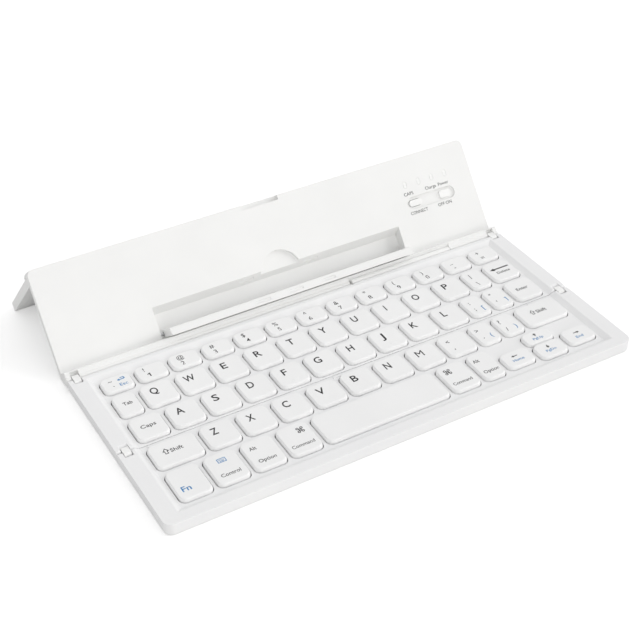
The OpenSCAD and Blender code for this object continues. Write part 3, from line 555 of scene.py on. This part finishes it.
@dataclass
class CapShape:
    """Sizes in millimetres that all key caps share."""

    low_z: float = 3.3
    shoulder_z: float = 4.45
    top_z: float = 5.65
    corner: float = 2.6
    wall: float = 0.8
    side: float = 0.5
    front: float = 0.75
    rear: float = 0.3
    dish: float = 0.06
    arc_steps: int = 5
    fall: list[tuple[float, float]] = field(
        default_factory=lambda: [
            (0.1, 0.22), (0.3, 0.5), (0.55, 0.76), (0.8, 0.93), (1.0, 0.99), (1.25, 1.0)
        ]
    )

    def rings(self) -> list[tuple[float, float, float, float, float]]:
        """Lists the cap's rings, from the ceiling inside it to the middle of its top.

        Returns:
            For each ring: inside, skirt, rise, inset and spread, from 0 to 1.
        """
        rows = [(1.0, 1.0, 0.0, 0.0, 1.0), (1.0, 0.0, 0.0, 0.0, 1.0), (0.0, 0.0, 0.0, 0.0, 1.0)]
        rows += [(0.0, 0.08, 0.0, 0.0, 1.0), (0.0, 1.0, 0.0, 0.0, 1.0)]
        rows += [(0.0, 1.0, rise, inset, 1.0) for inset, rise in self.fall]
        rows += [(0.0, 1.0, 1.0, 1.25, spread) for spread in (0.92, 0.75, 0.5, 0.25)]
        return rows

    def template(self) -> bpy.types.Mesh:
        """Builds the mesh whose points the cap's rule moves into place.

        Returns:
            A mesh with the rule's numbers on its points.
        """
        rounds = []
        for sx, sy, turn in ((1, 1, 0), (-1, 1, 90), (-1, -1, 180), (1, -1, 270)):
            for step in range(self.arc_steps + 1):
                angle = math.radians(turn + 90 * step / self.arc_steps)
                rounds.append(((sx, sy, 0.0), (math.cos(angle), math.sin(angle), 0.0)))
        count = len(rounds)
        rows = self.rings()
        points = [(corner, arc, row) for row in rows for corner, arc in rounds]
        points.append(((0.0, 0.0, 0.0), (0.0, 0.0, 0.0), (1.0, 1.0, 0.0, 0.0, 0.0)))
        points.append(((0.0, 0.0, 0.0), (0.0, 0.0, 0.0), (0.0, 1.0, 1.0, 1.25, 0.0)))
        faces = []
        for ring in range(len(rows) - 1):
            for i in range(count):
                low = ring * count
                j = (i + 1) % count
                faces.append((low + i, low + j, low + count + j, low + count + i))
        ceiling = len(rows) * count
        last = (len(rows) - 1) * count
        for i in range(count):
            j = (i + 1) % count
            faces.append((ceiling, j, i))
            faces.append((ceiling + 1, last + i, last + j))
        mesh = bpy.data.meshes.new("cap_template")
        mesh.from_pydata([(c[0], c[1], r[1] + r[2]) for c, _, r in points], [], faces)
        for name, pick in (("corner", lambda p: p[0]), ("arc", lambda p: p[1])):
            layer = mesh.attributes.new(name, "FLOAT_VECTOR", "POINT")
            layer.data.foreach_set("vector", [v for p in points for v in pick(p)])
        for i, name in enumerate(("inside", "skirt", "rise", "inset", "spread")):
            layer = mesh.attributes.new(name, "FLOAT", "POINT")
            layer.data.foreach_set("value", [p[2][i] for p in points])
        return mesh


class CapRule:
    """The geometry nodes that turn the cap's template into a key cap of any size."""

    NUMBERS = ("Width", "Depth", "Corner", "Wall", "Side", "Front", "Rear", "Dish", "Low", "Shoulder", "Top")

    def __init__(self, shape: CapShape, finish: bpy.types.Material) -> None:
        """Builds the tree for the shared sizes and the finish of the caps.

        Args:
            shape: the sizes that all caps share.
            finish: the caps' material.
        """
        self.shape = shape
        self.finish = finish
        self.template = shape.template()
        self.tree = self._tree()

    def _tree(self) -> bpy.types.NodeTree:
        """Builds the node tree.

        Returns:
            The tree.
        """
        tree = bpy.data.node_groups.new("Key cap", "GeometryNodeTree")
        face = tree.interface
        face.new_socket("Geometry", in_out="INPUT", socket_type="NodeSocketGeometry")
        for name in self.NUMBERS:
            face.new_socket(name, in_out="INPUT", socket_type="NodeSocketFloat")
        face.new_socket("Centre", in_out="INPUT", socket_type="NodeSocketVector")
        face.new_socket("Finish", in_out="INPUT", socket_type="NodeSocketMaterial")
        face.new_socket("Geometry", in_out="OUTPUT", socket_type="NodeSocketGeometry")
        graph = Graph(tree, "GeometryNode")
        source = tree.nodes.new("NodeGroupInput")
        size = {name: Value(graph, source.outputs[name]) for name in self.NUMBERS}

        def number(name: str) -> Value:
            """Reads a number from the template's points."""
            return graph.add("InputNamedAttribute", {"data_type": "FLOAT"}, {"Name": name})

        def parts(name: str) -> tuple[Value, Value]:
            """Reads the first two parts of a vector from the template's points."""
            whole = graph.add("InputNamedAttribute", {"data_type": "FLOAT_VECTOR"}, {"Name": name})
            return graph.add("SeparateXYZ", {}, {0: whole}, 0), graph.add("SeparateXYZ", {}, {0: whole}, 1)

        corner_x, corner_y = parts("corner")
        arc_x, arc_y = parts("arc")
        inside, skirt, rise = number("inside"), number("skirt"), number("rise")
        inset, spread = number("inset"), number("spread")
        wall = inside * size["Wall"]
        bend = size["Corner"] - wall
        half_x = size["Width"] / 2 - wall
        half_y = size["Depth"] / 2 - wall
        x = corner_x * (half_x - bend) + arc_x * bend
        y = corner_y * (half_y - bend) + arc_y * bend
        x = x * (1 - inset * size["Side"] / half_x) * spread
        lean = (size["Front"] + size["Rear"]) / 2
        y = y * (1 - inset * lean / half_y) * spread + inset * (size["Front"] - size["Rear"]) / 2
        z = size["Low"] + skirt * (size["Shoulder"] - size["Low"]) + rise * (size["Top"] - size["Shoulder"])
        z = z - size["Dish"] * rise * (1 - spread * spread)
        place = graph.add("CombineXYZ", {}, {0: x, 1: y, 2: z})
        centre = Value(graph, source.outputs["Centre"])
        moved = graph.add("VectorMath", {"operation": "ADD"}, {0: place, 1: centre})
        template = Value(graph, source.outputs[0])
        shaped = graph.add("SetPosition", {}, {"Geometry": template, "Position": moved})
        real = graph.add("RealizeInstances", {}, {"Geometry": shaped})
        finish = Value(graph, source.outputs["Finish"])
        done = graph.add("SetMaterial", {}, {"Geometry": real, "Material": finish})
        sink = tree.nodes.new("NodeGroupOutput")
        tree.links.new(done.socket, sink.inputs[0])
        return tree

    def cap(self, low: Vector, high: Vector) -> bpy.types.Mesh:
        """Makes the mesh of one cap.

        Args:
            low: the lowest corner of the key's box.
            high: its highest corner.

        Returns:
            The cap's plain mesh.
        """
        shape = self.shape
        sizes = {
            "Width": high.x - low.x, "Depth": high.y - low.y, "Corner": shape.corner * MM,
            "Wall": shape.wall * MM, "Side": shape.side * MM, "Front": shape.front * MM,
            "Rear": shape.rear * MM, "Dish": shape.dish * MM, "Low": low.z,
            "Shoulder": shape.shoulder_z * MM, "Top": high.z,
            "Centre": ((low.x + high.x) / 2, (low.y + high.y) / 2, 0.0), "Finish": self.finish,
        }
        blank = add_object("cap_blank", self.template)
        rule = blank.modifiers.new("rule", "NODES")
        rule.node_group = self.tree
        for item in self.tree.interface.items_tree:
            if item.in_out == "INPUT" and item.name in sizes:
                rule[item.identifier] = sizes[item.name]
        blank.update_tag()
        bpy.context.view_layer.update()
        mesh = bpy.data.meshes.new_from_object(blank.evaluated_get(bpy.context.evaluated_depsgraph_get()))
        blank.modifiers.remove(rule)
        bpy.data.objects.remove(blank)
        for name in ("corner", "arc", "inside", "skirt", "rise", "inset", "spread"):
            if name in mesh.attributes:
                mesh.attributes.remove(mesh.attributes[name])
        return mesh


@dataclass(frozen=True)
class Mark:
    """One printed word or sign, placed in millimetres from its key's front left corner."""

    text: str
    x: float
    y: float
    height: float
    width: float = 0.0
    ink: Ink = Ink.DARK
    weight: float = 0.006


LETTER_WIDTHS = {
    "A": 0.92, "B": 0.74, "C": 0.8, "D": 0.79, "E": 0.67, "F": 0.57, "G": 0.87, "H": 0.76, "I": 0.13,
    "J": 0.52, "K": 0.78, "L": 0.57, "M": 0.9, "N": 0.76, "O": 0.9, "P": 0.7, "Q": 0.9, "R": 0.82,
    "S": 0.73, "T": 0.78, "U": 0.74, "V": 0.95, "W": 1.26, "X": 0.82, "Y": 0.86, "Z": 0.73,
}


# Middle, foot line and height of the letters, and x, y and height of a number key's signs
LETTER_MIDDLE = 5.3
LETTER_FOOT = 7.1
LETTER_HEIGHT = 3.7
UPPER_SIGN = (3.7, 5.5, 2.4)
LOWER_SIGN = (4.2, 1.5, 2.5)

# How far the strokes are thickened
LETTER_WEIGHT = 0.013
SIGN_WEIGHT = 0.003
FN_WEIGHT = 0.012
LABEL_WEIGHT = 0.005


def letter(text: str) -> list[Mark]:
    """Gives the mark of a letter key, centred on the line that all letters share.

    Args:
        text: the letter.

    Returns:
        A list of that one mark.
    """
    wide = LETTER_WIDTHS[text] * LETTER_HEIGHT
    weight = 0.0 if text == "M" else LETTER_WEIGHT
    return [Mark(text, LETTER_MIDDLE - wide / 2, LETTER_FOOT, LETTER_HEIGHT, wide, weight=weight)]


def pair(upper: str, lower: str) -> list[Mark]:
    """Gives the two marks of a number key.

    Args:
        upper: the sign at the rear.
        lower: the sign at the front.

    Returns:
        The two marks.
    """
    return [Mark(upper, *UPPER_SIGN, weight=SIGN_WEIGHT), Mark(lower, *LOWER_SIGN, weight=SIGN_WEIGHT)]


NUMBER_SIGNS = ("!1", "@2", "#3", "$4", "%5", "^6", "&7", "*8", "(9", ")0", "_-", "+=")
KEY_MARKS: dict[str, list[list[Mark]]] = {
    "key_escape": [[
        Mark("~", 3.3, 5.6, 2.2), Mark("`", 4.2, 1.3, 2.2),
        Mark("↩", 7.1, 5.4, 2.0, 3.4, Ink.BLUE), Mark("Esc", 7.1, 2.2, 1.7, 3.4, Ink.BLUE),
    ]],
    "number_keys": [pair(*signs) for signs in NUMBER_SIGNS],
    "key_tab": [[Mark("Tab", 3.2, 6.4, 1.9, 3.9)]],
    "top_letter_keys": [letter(text) for text in "QWERTYUIOP"],
    "key_slash": [[Mark("|", 3.4, 8.6, 2.4), Mark("\\", 3.3, 2.4, 2.4)]],
    "key_delete": [[Mark("Delete", 3.9, 4.9, 1.5, 6.8)]],
    "key_caps": [[Mark("Caps", 3.5, 6.5, 1.9, 6.4)]],
    "home_letter_keys": [letter(text) for text in "ASDFGHJKL"],
    "key_semicolon": [[
        Mark(":", 3.0, 8.4, 2.4), Mark(";", 3.0, 3.6, 2.4), Mark("[", 6.7, 3.0, 2.6, ink=Ink.BLUE)
    ]],
    "key_quote": [[
        Mark('"', 2.5, 8.2, 2.4), Mark("'", 2.8, 2.8, 2.4), Mark("]", 7.2, 3.0, 2.6, ink=Ink.BLUE)
    ]],
    "key_enter": [[Mark("Enter", 3.5, 6.3, 1.8, 6.0)]],
    "key_left_shift": [[Mark("⇧", 4.9, 6.5, 2.8, 2.8), Mark("Shift", 8.0, 6.7, 1.9, 5.2)]],
    "lower_letter_keys": [letter(text) for text in "ZXCVBNM"],
    "key_comma": [[Mark("<", 3.0, 8.3, 2.3), Mark(",", 3.8, 3.8, 2.6)]],
    "key_period": [[
        Mark(">", 2.1, 8.3, 2.3), Mark(".", 2.8, 3.8, 2.6), Mark("(", 6.6, 3.3, 2.5, ink=Ink.BLUE)
    ]],
    "key_question": [[
        Mark("?", 2.1, 8.4, 2.6), Mark("/", 2.4, 3.0, 2.3), Mark(")", 7.0, 3.3, 2.5, ink=Ink.BLUE)
    ]],
    "key_right_shift": [[Mark("⇧", 5.7, 6.7, 2.6, 2.5), Mark("Shift", 8.7, 6.8, 1.9, 5.1)]],
    "key_fn": [[Mark("Fn", 2.5, 4.2, 2.7, 3.7, Ink.BLUE, FN_WEIGHT)]],
    "key_control": [[Mark("Control", 2.7, 3.7, 1.8, 8.1)]],
    "key_left_alt": [[Mark("Alt", 2.7, 11.2, 1.9, 2.9), Mark("Option", 2.9, 3.7, 1.8, 7.4)]],
    "key_left_command": [[Mark("⌘", 8.0, 10.9, 2.8, 3.0), Mark("Command", 1.7, 3.8, 1.7, 9.8)]],
    "key_right_command": [[Mark("⌘", 2.6, 11.0, 2.8, 3.1), Mark("Command", 1.8, 3.9, 1.7, 9.0)]],
    "key_right_alt": [[Mark("Alt", 1.5, 11.4, 1.9, 2.9), Mark("Option", 1.7, 3.9, 1.8, 7.3)]],
    "key_home": [[Mark("←", 4.8, 5.8, 1.3, 2.9), Mark("Home", 4.0, 3.2, 1.4, 5.4, Ink.BLUE)]],
    "key_up": [[Mark("↑", 5.6, 4.3, 1.9, 1.7), Mark("PgUp", 4.1, 2.2, 1.3, 5.0, Ink.BLUE)]],
    "key_down": [[Mark("↓", 5.6, 5.3, 1.9, 1.7), Mark("PgDn", 4.0, 3.2, 1.3, 5.0, Ink.BLUE)]],
    "key_end": [[Mark("→", 5.5, 5.6, 1.3, 2.9), Mark("End", 4.9, 2.8, 1.4, 3.5, Ink.BLUE)]],
    "key_space": [[]],
}


class Printer:
    """Makes the thin printed words and signs."""

    CAP_HEIGHT = 0.682
    FILM = 0.02
    NARROWING = 0.94
    JOIN = 0.0005
    DRAWN = {
        "1": ((0.3, 0.0), (0.5, 0.0), (0.5, 1.0), (0.34, 1.0), (0.0, 0.78), (0.0, 0.6), (0.3, 0.76)),
        "↩": (
            (0.0, 0.38), (0.45, 0.0), (0.45, 0.26), (1.45, 0.26), (1.62, 0.42), (1.62, 0.84), (1.45, 1.0),
            (0.75, 1.0), (0.75, 0.78), (1.33, 0.78), (1.4, 0.71), (1.4, 0.55), (1.33, 0.48), (0.45, 0.48),
            (0.45, 0.76),
        ),
        "↑": ((0.37, 0.0), (0.63, 0.0), (0.63, 0.48), (1.0, 0.48), (0.5, 1.0), (0.0, 0.48), (0.37, 0.48)),
        "↓": ((0.37, 1.0), (0.37, 0.52), (0.0, 0.52), (0.5, 0.0), (1.0, 0.52), (0.63, 0.52), (0.63, 1.0)),
        "←": ((0.0, 0.5), (0.42, 0.0), (0.42, 0.36), (1.0, 0.36), (1.0, 0.64), (0.42, 0.64), (0.42, 1.0)),
        "→": ((1.0, 0.5), (0.58, 1.0), (0.58, 0.64), (0.0, 0.64), (0.0, 0.36), (0.58, 0.36), (0.58, 0.0)),
    }

    def __init__(self, finishes: Finishes) -> None:
        """Holds the inks."""
        self.inks = {Ink.DARK: finishes.dark_ink, Ink.BLUE: finishes.blue_ink}

    def word(self, mark: Mark) -> bmesh.types.BMesh:
        """Makes one mark, flat, with its left end on x = 0 and its foot line on y = 0.

        Args:
            mark: what is printed.

        Returns:
            The mark's mesh, in metres.
        """
        if mark.text in self.DRAWN:
            points = self.DRAWN[mark.text]
            wide = mark.width / max(x for x, _ in points) if mark.width else mark.height
            return self.outline([(x * wide, y * mark.height) for x, y in points])
        curve = bpy.data.curves.new("word", "FONT")
        curve.body = mark.text
        curve.resolution_u = 3
        curve.offset = mark.weight
        curve.extrude = 0.5 * self.FILM / (mark.height / self.CAP_HEIGHT)
        holder = bpy.data.objects.new("word", curve)
        bpy.context.scene.collection.objects.link(holder)
        bpy.context.view_layer.update()
        flat = bpy.data.meshes.new_from_object(holder.evaluated_get(bpy.context.evaluated_depsgraph_get()))
        bpy.data.objects.remove(holder)
        bpy.data.curves.remove(curve)
        shape = bmesh.new()
        shape.from_mesh(flat)
        bpy.data.meshes.remove(flat)
        bmesh.ops.remove_doubles(shape, verts=shape.verts, dist=self.JOIN)
        left = min(v.co.x for v in shape.verts)
        right = max(v.co.x for v in shape.verts)
        scale = mark.height * MM / self.CAP_HEIGHT
        wide = mark.width * MM / (right - left) if mark.width else scale * self.NARROWING
        for vertex in shape.verts:
            vertex.co = Vector(((vertex.co.x - left) * wide, vertex.co.y * scale, vertex.co.z * scale))
        return shape

    def outline(self, points: list[tuple[float, float]]) -> bmesh.types.BMesh:
        """Makes one mark from a closed outline in millimetres.

        Args:
            points: the outline's corners, anticlockwise.

        Returns:
            The mark's mesh, in metres.
        """
        shape = bmesh.new()
        half = self.FILM * MM / 2
        low = [shape.verts.new((x * MM, y * MM, -half)) for x, y in points]
        high = [shape.verts.new((x * MM, y * MM, half)) for x, y in points]
        shape.faces.new(high)
        shape.faces.new(low[::-1])
        for i in range(len(points)):
            j = (i + 1) % len(points)
            shape.faces.new((low[i], low[j], high[j], high[i]))
        return shape

    def piece(self, name: str, ink: Ink, marks: list[tuple[bmesh.types.BMesh, Matrix]], body: str) -> None:
        """Joins placed marks of one ink into a piece.

        Args:
            name: the piece's name.
            ink: its ink.
            marks: meshes and their places.
            body: the body that it rides on.
        """
        if not marks:
            return
        mesh = bpy.data.meshes.new(name)
        joined = bmesh.new()
        for shape, place in marks:
            shape.transform(place)
            part = bpy.data.meshes.new("part")
            shape.to_mesh(part)
            shape.free()
            joined.from_mesh(part)
            bpy.data.meshes.remove(part)
        joined.to_mesh(mesh)
        joined.free()
        mesh.materials.append(self.inks[ink])
        piece = add_object(name, mesh)
        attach(piece, body)


@dataclass
class KeyField:
    """All the keys: caps, the ridges on the two rest keys, and their print."""

    shape: CapShape = field(default_factory=CapShape)
    ridge_x: float = 5.3
    ridge_y: float = 3.0
    ridge_l: float = 3.6
    ridge_w: float = 0.5
    ridge_h: float = 0.12
    ridge_keys: tuple[int, ...] = (3, 6)
    icon_x: float = 4.9
    icon_y: float = 11.3
    icon_w: float = 3.6
    icon_h: float = 2.3

    def boxes(self, node: str) -> list[tuple[Vector, Vector]]:
        """Finds the box of each key of a node.

        Args:
            node: the node's name.

        Returns:
            The lowest and highest corner of each key, from left to right.
        """
        shape = merged_copy(node)
        found = []
        for group in solids(shape):
            places = [v.co for v in group]
            low = Vector([min(p[i] for p in places) for i in range(3)])
            high = Vector([max(p[i] for p in places) for i in range(3)])
            found.append((low, high))
        shape.free()
        return sorted(found, key=lambda box: box[0].x)

    def ridge(self, low: Vector, top: float) -> bmesh.types.BMesh:
        """Makes the low rounded ridge that a finger feels.

        Args:
            low: the lowest corner of its key.
            top: the height of the key's top.

        Returns:
            The ridge's mesh.
        """
        shape = bmesh.new()
        steps = 8
        rows = []
        for end, x in ((0.0, 0.0), (1.0, 0.2), (1.0, self.ridge_l - 0.2), (0.0, self.ridge_l)):
            row = []
            for step in range(steps + 1):
                angle = math.pi * step / steps
                reach = 0.35 + 0.65 * end
                y = self.ridge_y - math.cos(angle) * self.ridge_w / 2 * reach
                z = math.sin(angle) * self.ridge_h * end - 0.08
                spot = Vector((self.ridge_x + x, y, z)) * MM
                row.append(shape.verts.new(spot + Vector((low.x, low.y, top))))
            rows.append(row)
        for first, second in zip(rows, rows[1:]):
            for i in range(steps):
                shape.faces.new((first[i], second[i], second[i + 1], first[i + 1]))
        bmesh.ops.holes_fill(shape, edges=shape.edges)
        bmesh.ops.recalc_face_normals(shape, faces=shape.faces)
        return shape

    def icon(self, printer: Printer) -> list[bmesh.types.BMesh]:
        """Makes the small keyboard sign: a frame with rows of dots and a bar.

        Args:
            printer: makes the print.

        Returns:
            The meshes of its parts.
        """
        x, y, w, h = self.icon_x, self.icon_y, self.icon_w, self.icon_h
        line = 0.28
        bars = [
            (x, y, w, line), (x, y + h - line, w, line), (x, y + line, line, h - 2 * line),
            (x + w - line, y + line, line, h - 2 * line), (x + 0.9, y + 0.55, w - 1.8, 0.25),
        ]
        for row in (0.98, 1.45):
            bars += [(x + 0.55 + 0.5 * i, y + row, 0.28, 0.26) for i in range(5)]
        return [
            printer.outline([(a, b), (a + c, b), (a + c, b + d), (a, b + d)]) for a, b, c, d in bars
        ]

    def arrow(self, printer: Printer) -> bmesh.types.BMesh:
        """Makes the long arrow of the delete key.

        Args:
            printer: makes the print.

        Returns:
            The arrow's mesh.
        """
        return printer.outline([
            (2.0, 8.5), (4.3, 7.45), (4.3, 8.15), (11.8, 8.15), (11.8, 8.85), (4.3, 8.85), (4.3, 9.55)
        ])

    def build(self, finishes: Finishes, printer: Printer) -> None:
        """Builds every key.

        Args:
            finishes: the finishes of the keyboard.
            printer: makes the print.
        """
        rule = CapRule(self.shape, finishes.cap)
        for node, printed in KEY_MARKS.items():
            body = BODY_OF[node]
            boxes = self.boxes(node)
            caps = bmesh.new()
            marks = {ink: [] for ink in Ink}
            for number, ((low, high), words) in enumerate(zip(boxes, printed, strict=True)):
                cap = rule.cap(low, high)
                caps.from_mesh(cap)
                bpy.data.meshes.remove(cap)
                if node == "home_letter_keys" and number in self.ridge_keys:
                    ridge = self.ridge(low, high.z)
                    part = bpy.data.meshes.new("ridge")
                    ridge.to_mesh(part)
                    ridge.free()
                    caps.from_mesh(part)
                    bpy.data.meshes.remove(part)
                top = high.z - self.shape.dish * MM * 0.5
                for mark in words:
                    place = Matrix.Translation((low.x + mark.x * MM, low.y + mark.y * MM, top))
                    marks[mark.ink].append((printer.word(mark), place))
                corner = Matrix.Translation((low.x, low.y, top))
                if node == "key_control":
                    marks[Ink.BLUE] += [(shape, corner) for shape in self.icon(printer)]
                if node == "key_delete":
                    marks[Ink.DARK].append((self.arrow(printer), corner))
            mesh = bpy.data.meshes.new(node + "_caps")
            caps.to_mesh(mesh)
            caps.free()
            mesh.materials.append(finishes.cap)
            smooth(mesh, 40.0)
            piece = add_object(node + "_caps", mesh)
            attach(piece, body)
            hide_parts(node)
            for ink, placed in marks.items():
                printer.piece(f"{node}_{ink.value}_print", ink, placed, body)
            log.info("keys: %s, %d cap(s)", node, len(boxes))


class Panels:
    """The two key panels with their covers, dome sheets and hinges."""

    def build(self, finishes: Finishes) -> None:
        """Builds the panels and the links between them.

        Args:
            finishes: the finishes of the keyboard.
        """
        for node in ("front_frame", "middle_frame"):
            SoftenedMoulding(node).build(finishes.frame, "frame")
            log.info("panel: %s", node)
        for node in ("front_cover", "middle_cover"):
            SoftenedMoulding(node).build(finishes.cover, "cover")
        for node in ("fold_links", "lid_links"):
            SoftenedMoulding(node).build(finishes.bright, "link")
        for node in ("fold_pins", "lid_pins"):
            dress(node, finishes.steel)
        for node in ("front_circuit", "middle_circuit"):
            dress(node, finishes.sheet)


@dataclass
class Lid:
    """The lid: shell, ledge, hinge bar, controls, stand and what is inside, in millimetres."""

    label_height: float = 1.45
    parting: tuple[float, float, float] = (0.0, 32.5355, 4.03)
    slot_v: float = 22.35
    skirt_lead: float = 1.1
    skirt_size: tuple[float, float, float] = (7.8, 2.2, 0.08)
    skirt_n: float = -1.02
    labels: tuple[tuple[str, float, float, float], ...] = (
        ("CAPS", 69.7, 26.4, 5.0),
        ("Charge", 81.3, 26.4, 6.0),
        ("Power", 88.5, 26.4, 5.7),
        ("CONNECT", 70.2, 17.2, 9.3),
        ("OFF·ON", 85.3, 17.2, 7.4),
    )

    def place(self, u: float, v: float, n: float) -> Matrix:
        """Gives the place of a point of the lid's face.

        Args:
            u: across the lid, in millimetres.
            v: up the lid, in millimetres.
            n: out of its face, in millimetres.

        Returns:
            The turn and shift from the flat to that place.
        """
        lean = Matrix.Rotation(LID_TILT, 4, "X")
        return Matrix.Translation(LID_FOOT) @ lean @ Matrix.Translation(Vector((u, v, n)) * MM)

    def skirted(self, slider: bpy.types.Object) -> None:
        """Adds the thin skirt that keeps the slider's slot covered.

        Args:
            slider: the slider's piece.
        """
        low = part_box("power_slider")[0][0] / MM
        shape = bmesh.new()
        shape.from_mesh(slider.data)
        length, width, thickness = self.skirt_size
        for vertex in bmesh.ops.create_cube(shape, size=1.0)["verts"]:
            u = low - self.skirt_lead + (vertex.co.x + 0.5) * length
            v = self.slot_v + vertex.co.y * width
            n = self.skirt_n + vertex.co.z * thickness
            vertex.co = self.place(u, v, n).translation
        shape.to_mesh(slider.data)
        shape.free()

    def build(self, finishes: Finishes, printer: Printer) -> None:
        """Builds the lid.

        Args:
            finishes: the finishes of the keyboard.
            printer: makes the print.
        """
        foot = Vector(self.parting) * MM
        up = Vector((0.0, math.cos(LID_TILT), math.sin(LID_TILT)))
        SoftenedMoulding("lid_front", partings=((foot, up),)).build(finishes.lid, "lid")
        for node in ("lid_back", "kickstand", "ledge"):
            SoftenedMoulding(node).build(finishes.lid, "lid")
            log.info("lid: %s", node)
        SoftenedMoulding("hinge_cover").build(finishes.bright, "lid")
        SoftenedMoulding("connect_button").build(finishes.bright, "control")
        self.skirted(SoftenedMoulding("power_slider").build(finishes.bright, "control"))
        SoftenedMoulding("lamp_windows").build(finishes.lens, "lamp")
        for node in ("ledge_pins", "kickstand_pins", "connect_switch", "power_switch", "charge_socket"):
            dress(node, finishes.steel)
        dress("circuit_board", finishes.board)
        dress("battery", finishes.cell)
        words = []
        for text, u, v, width in self.labels:
            mark = Mark(text, 0.0, 0.0, self.label_height, width, Ink.DARK, LABEL_WEIGHT)
            words.append((printer.word(mark), self.place(u, v, 0.0)))
        printer.piece("lid_labels", Ink.DARK, words, "lid")


@dataclass
class Studio:
    """The white studio: floor, soft light and the camera."""

    eye: tuple[float, float, float] = (-227.22, -386.67, 350.36)
    azimuth: float = 0.5240
    elevation: float = 0.6467
    roll: float = -0.0047
    lens: float = 75.15
    sensor: float = 36.0
    low_sky: float = 0.44
    high_sky: float = 0.94
    front_tint: tuple[float, float, float] = (1.0, 0.985, 0.955)
    lamps: tuple[tuple[str, float, tuple[float, float, float], float], ...] = (
        ("side light", 0.9, (0.84, -0.3, 0.45), 44.0),
        ("front light", 0.6, (-0.1, -0.96, 0.22), 34.0),
    )
    mirrored_room: float = 0.35
    floor: float = 3.0
    floor_grey: float = 0.86
    floor_glow: float = 0.32

    def camera(self) -> None:
        """Places the camera."""
        data = bpy.data.cameras.new("camera")
        data.lens = self.lens
        data.sensor_width = self.sensor
        data.clip_start = 0.01
        ahead = Vector((
            math.sin(self.azimuth) * math.cos(self.elevation),
            math.cos(self.azimuth) * math.cos(self.elevation),
            -math.sin(self.elevation),
        ))
        right = ahead.cross(Vector((0.0, 0.0, 1.0))).normalized()
        up = right.cross(ahead)
        c, s = math.cos(self.roll), math.sin(self.roll)
        right, up = c * right + s * up, c * up - s * right
        turn = Matrix((right, up, -ahead)).transposed().to_4x4()
        holder = bpy.data.objects.new("camera", data)
        holder.matrix_world = Matrix.Translation(Vector(self.eye) * MM) @ turn
        bpy.context.scene.collection.objects.link(holder)
        bpy.context.scene.camera = holder

    def light(self) -> None:
        """Places the soft lamps and the light of the room, which is brightest overhead."""
        for name, energy, source, spread in self.lamps:
            data = bpy.data.lights.new(name, "SUN")
            data.energy = energy
            data.angle = math.radians(spread)
            if name == "front light":
                data.color = self.front_tint
            holder = bpy.data.objects.new(name, data)
            holder.rotation_euler = (-Vector(source)).to_track_quat("-Z", "Y").to_euler()
            bpy.context.scene.collection.objects.link(holder)
        world = bpy.data.worlds.new("room")
        world.use_nodes = True
        bpy.context.scene.world = world
        graph = Graph(world.node_tree, "ShaderNode")
        ground = world.node_tree.nodes["Background"]
        ground.inputs["Color"].default_value = (1.0, 1.0, 1.0, 1.0)
        rays = graph.add("LightPath", {}, {}, "Is Camera Ray")
        glossy = graph.add("LightPath", {}, {}, "Is Glossy Ray")
        seen = rays + glossy * self.mirrored_room
        toward = graph.add("TexCoord", {}, {}, "Generated")
        height = graph.add("SeparateXYZ", {}, {0: toward}, 2)
        rise = graph.add("Math", {"operation": "MAXIMUM"}, {0: height, 1: 0.0})
        sky = self.low_sky + rise * (self.high_sky - self.low_sky)
        strength = sky + seen * (1.0 - sky)
        graph.tree.links.new(strength.socket, ground.inputs["Strength"])

    def ground(self) -> None:
        """Lays the plain white floor, which keeps the keyboard's soft shadow."""
        mesh = bpy.data.meshes.new("floor")
        half = self.floor / 2
        corners = [(-half, -half, 0), (half, -half, 0), (half, half, 0), (-half, half, 0)]
        mesh.from_pydata(corners, [], [(0, 1, 2, 3)])
        material, graph, shader = new_surface("floor")
        shader.inputs["Base Color"].default_value = (*[self.floor_grey] * 3, 1.0)
        shader.inputs["Roughness"].default_value = 0.9
        shader.inputs["Specular IOR Level"].default_value = 0.0
        rays = graph.add("LightPath", {}, {}, "Is Camera Ray")
        glow = rays * self.floor_glow
        shader.inputs["Emission Color"].default_value = (1.0, 1.0, 1.0, 1.0)
        graph.tree.links.new(glow.socket, shader.inputs["Emission Strength"])
        mesh.materials.append(material)
        add_object("floor", mesh)

    def build(self) -> None:
        """Builds the studio."""
        self.camera()
        self.light()
        self.ground()
        view = bpy.context.scene.view_settings
        view.view_transform = "Standard"


def main() -> None:
    """Builds the keyboard and its studio."""
    logging.basicConfig(level=logging.INFO, format="%(message)s")
    Studio().build()
    finishes = Finishes()
    printer = Printer(finishes)
    Panels().build(finishes)
    KeyField().build(finishes, printer)
    Lid().build(finishes, printer)


if __name__ == "__main__":
    main()
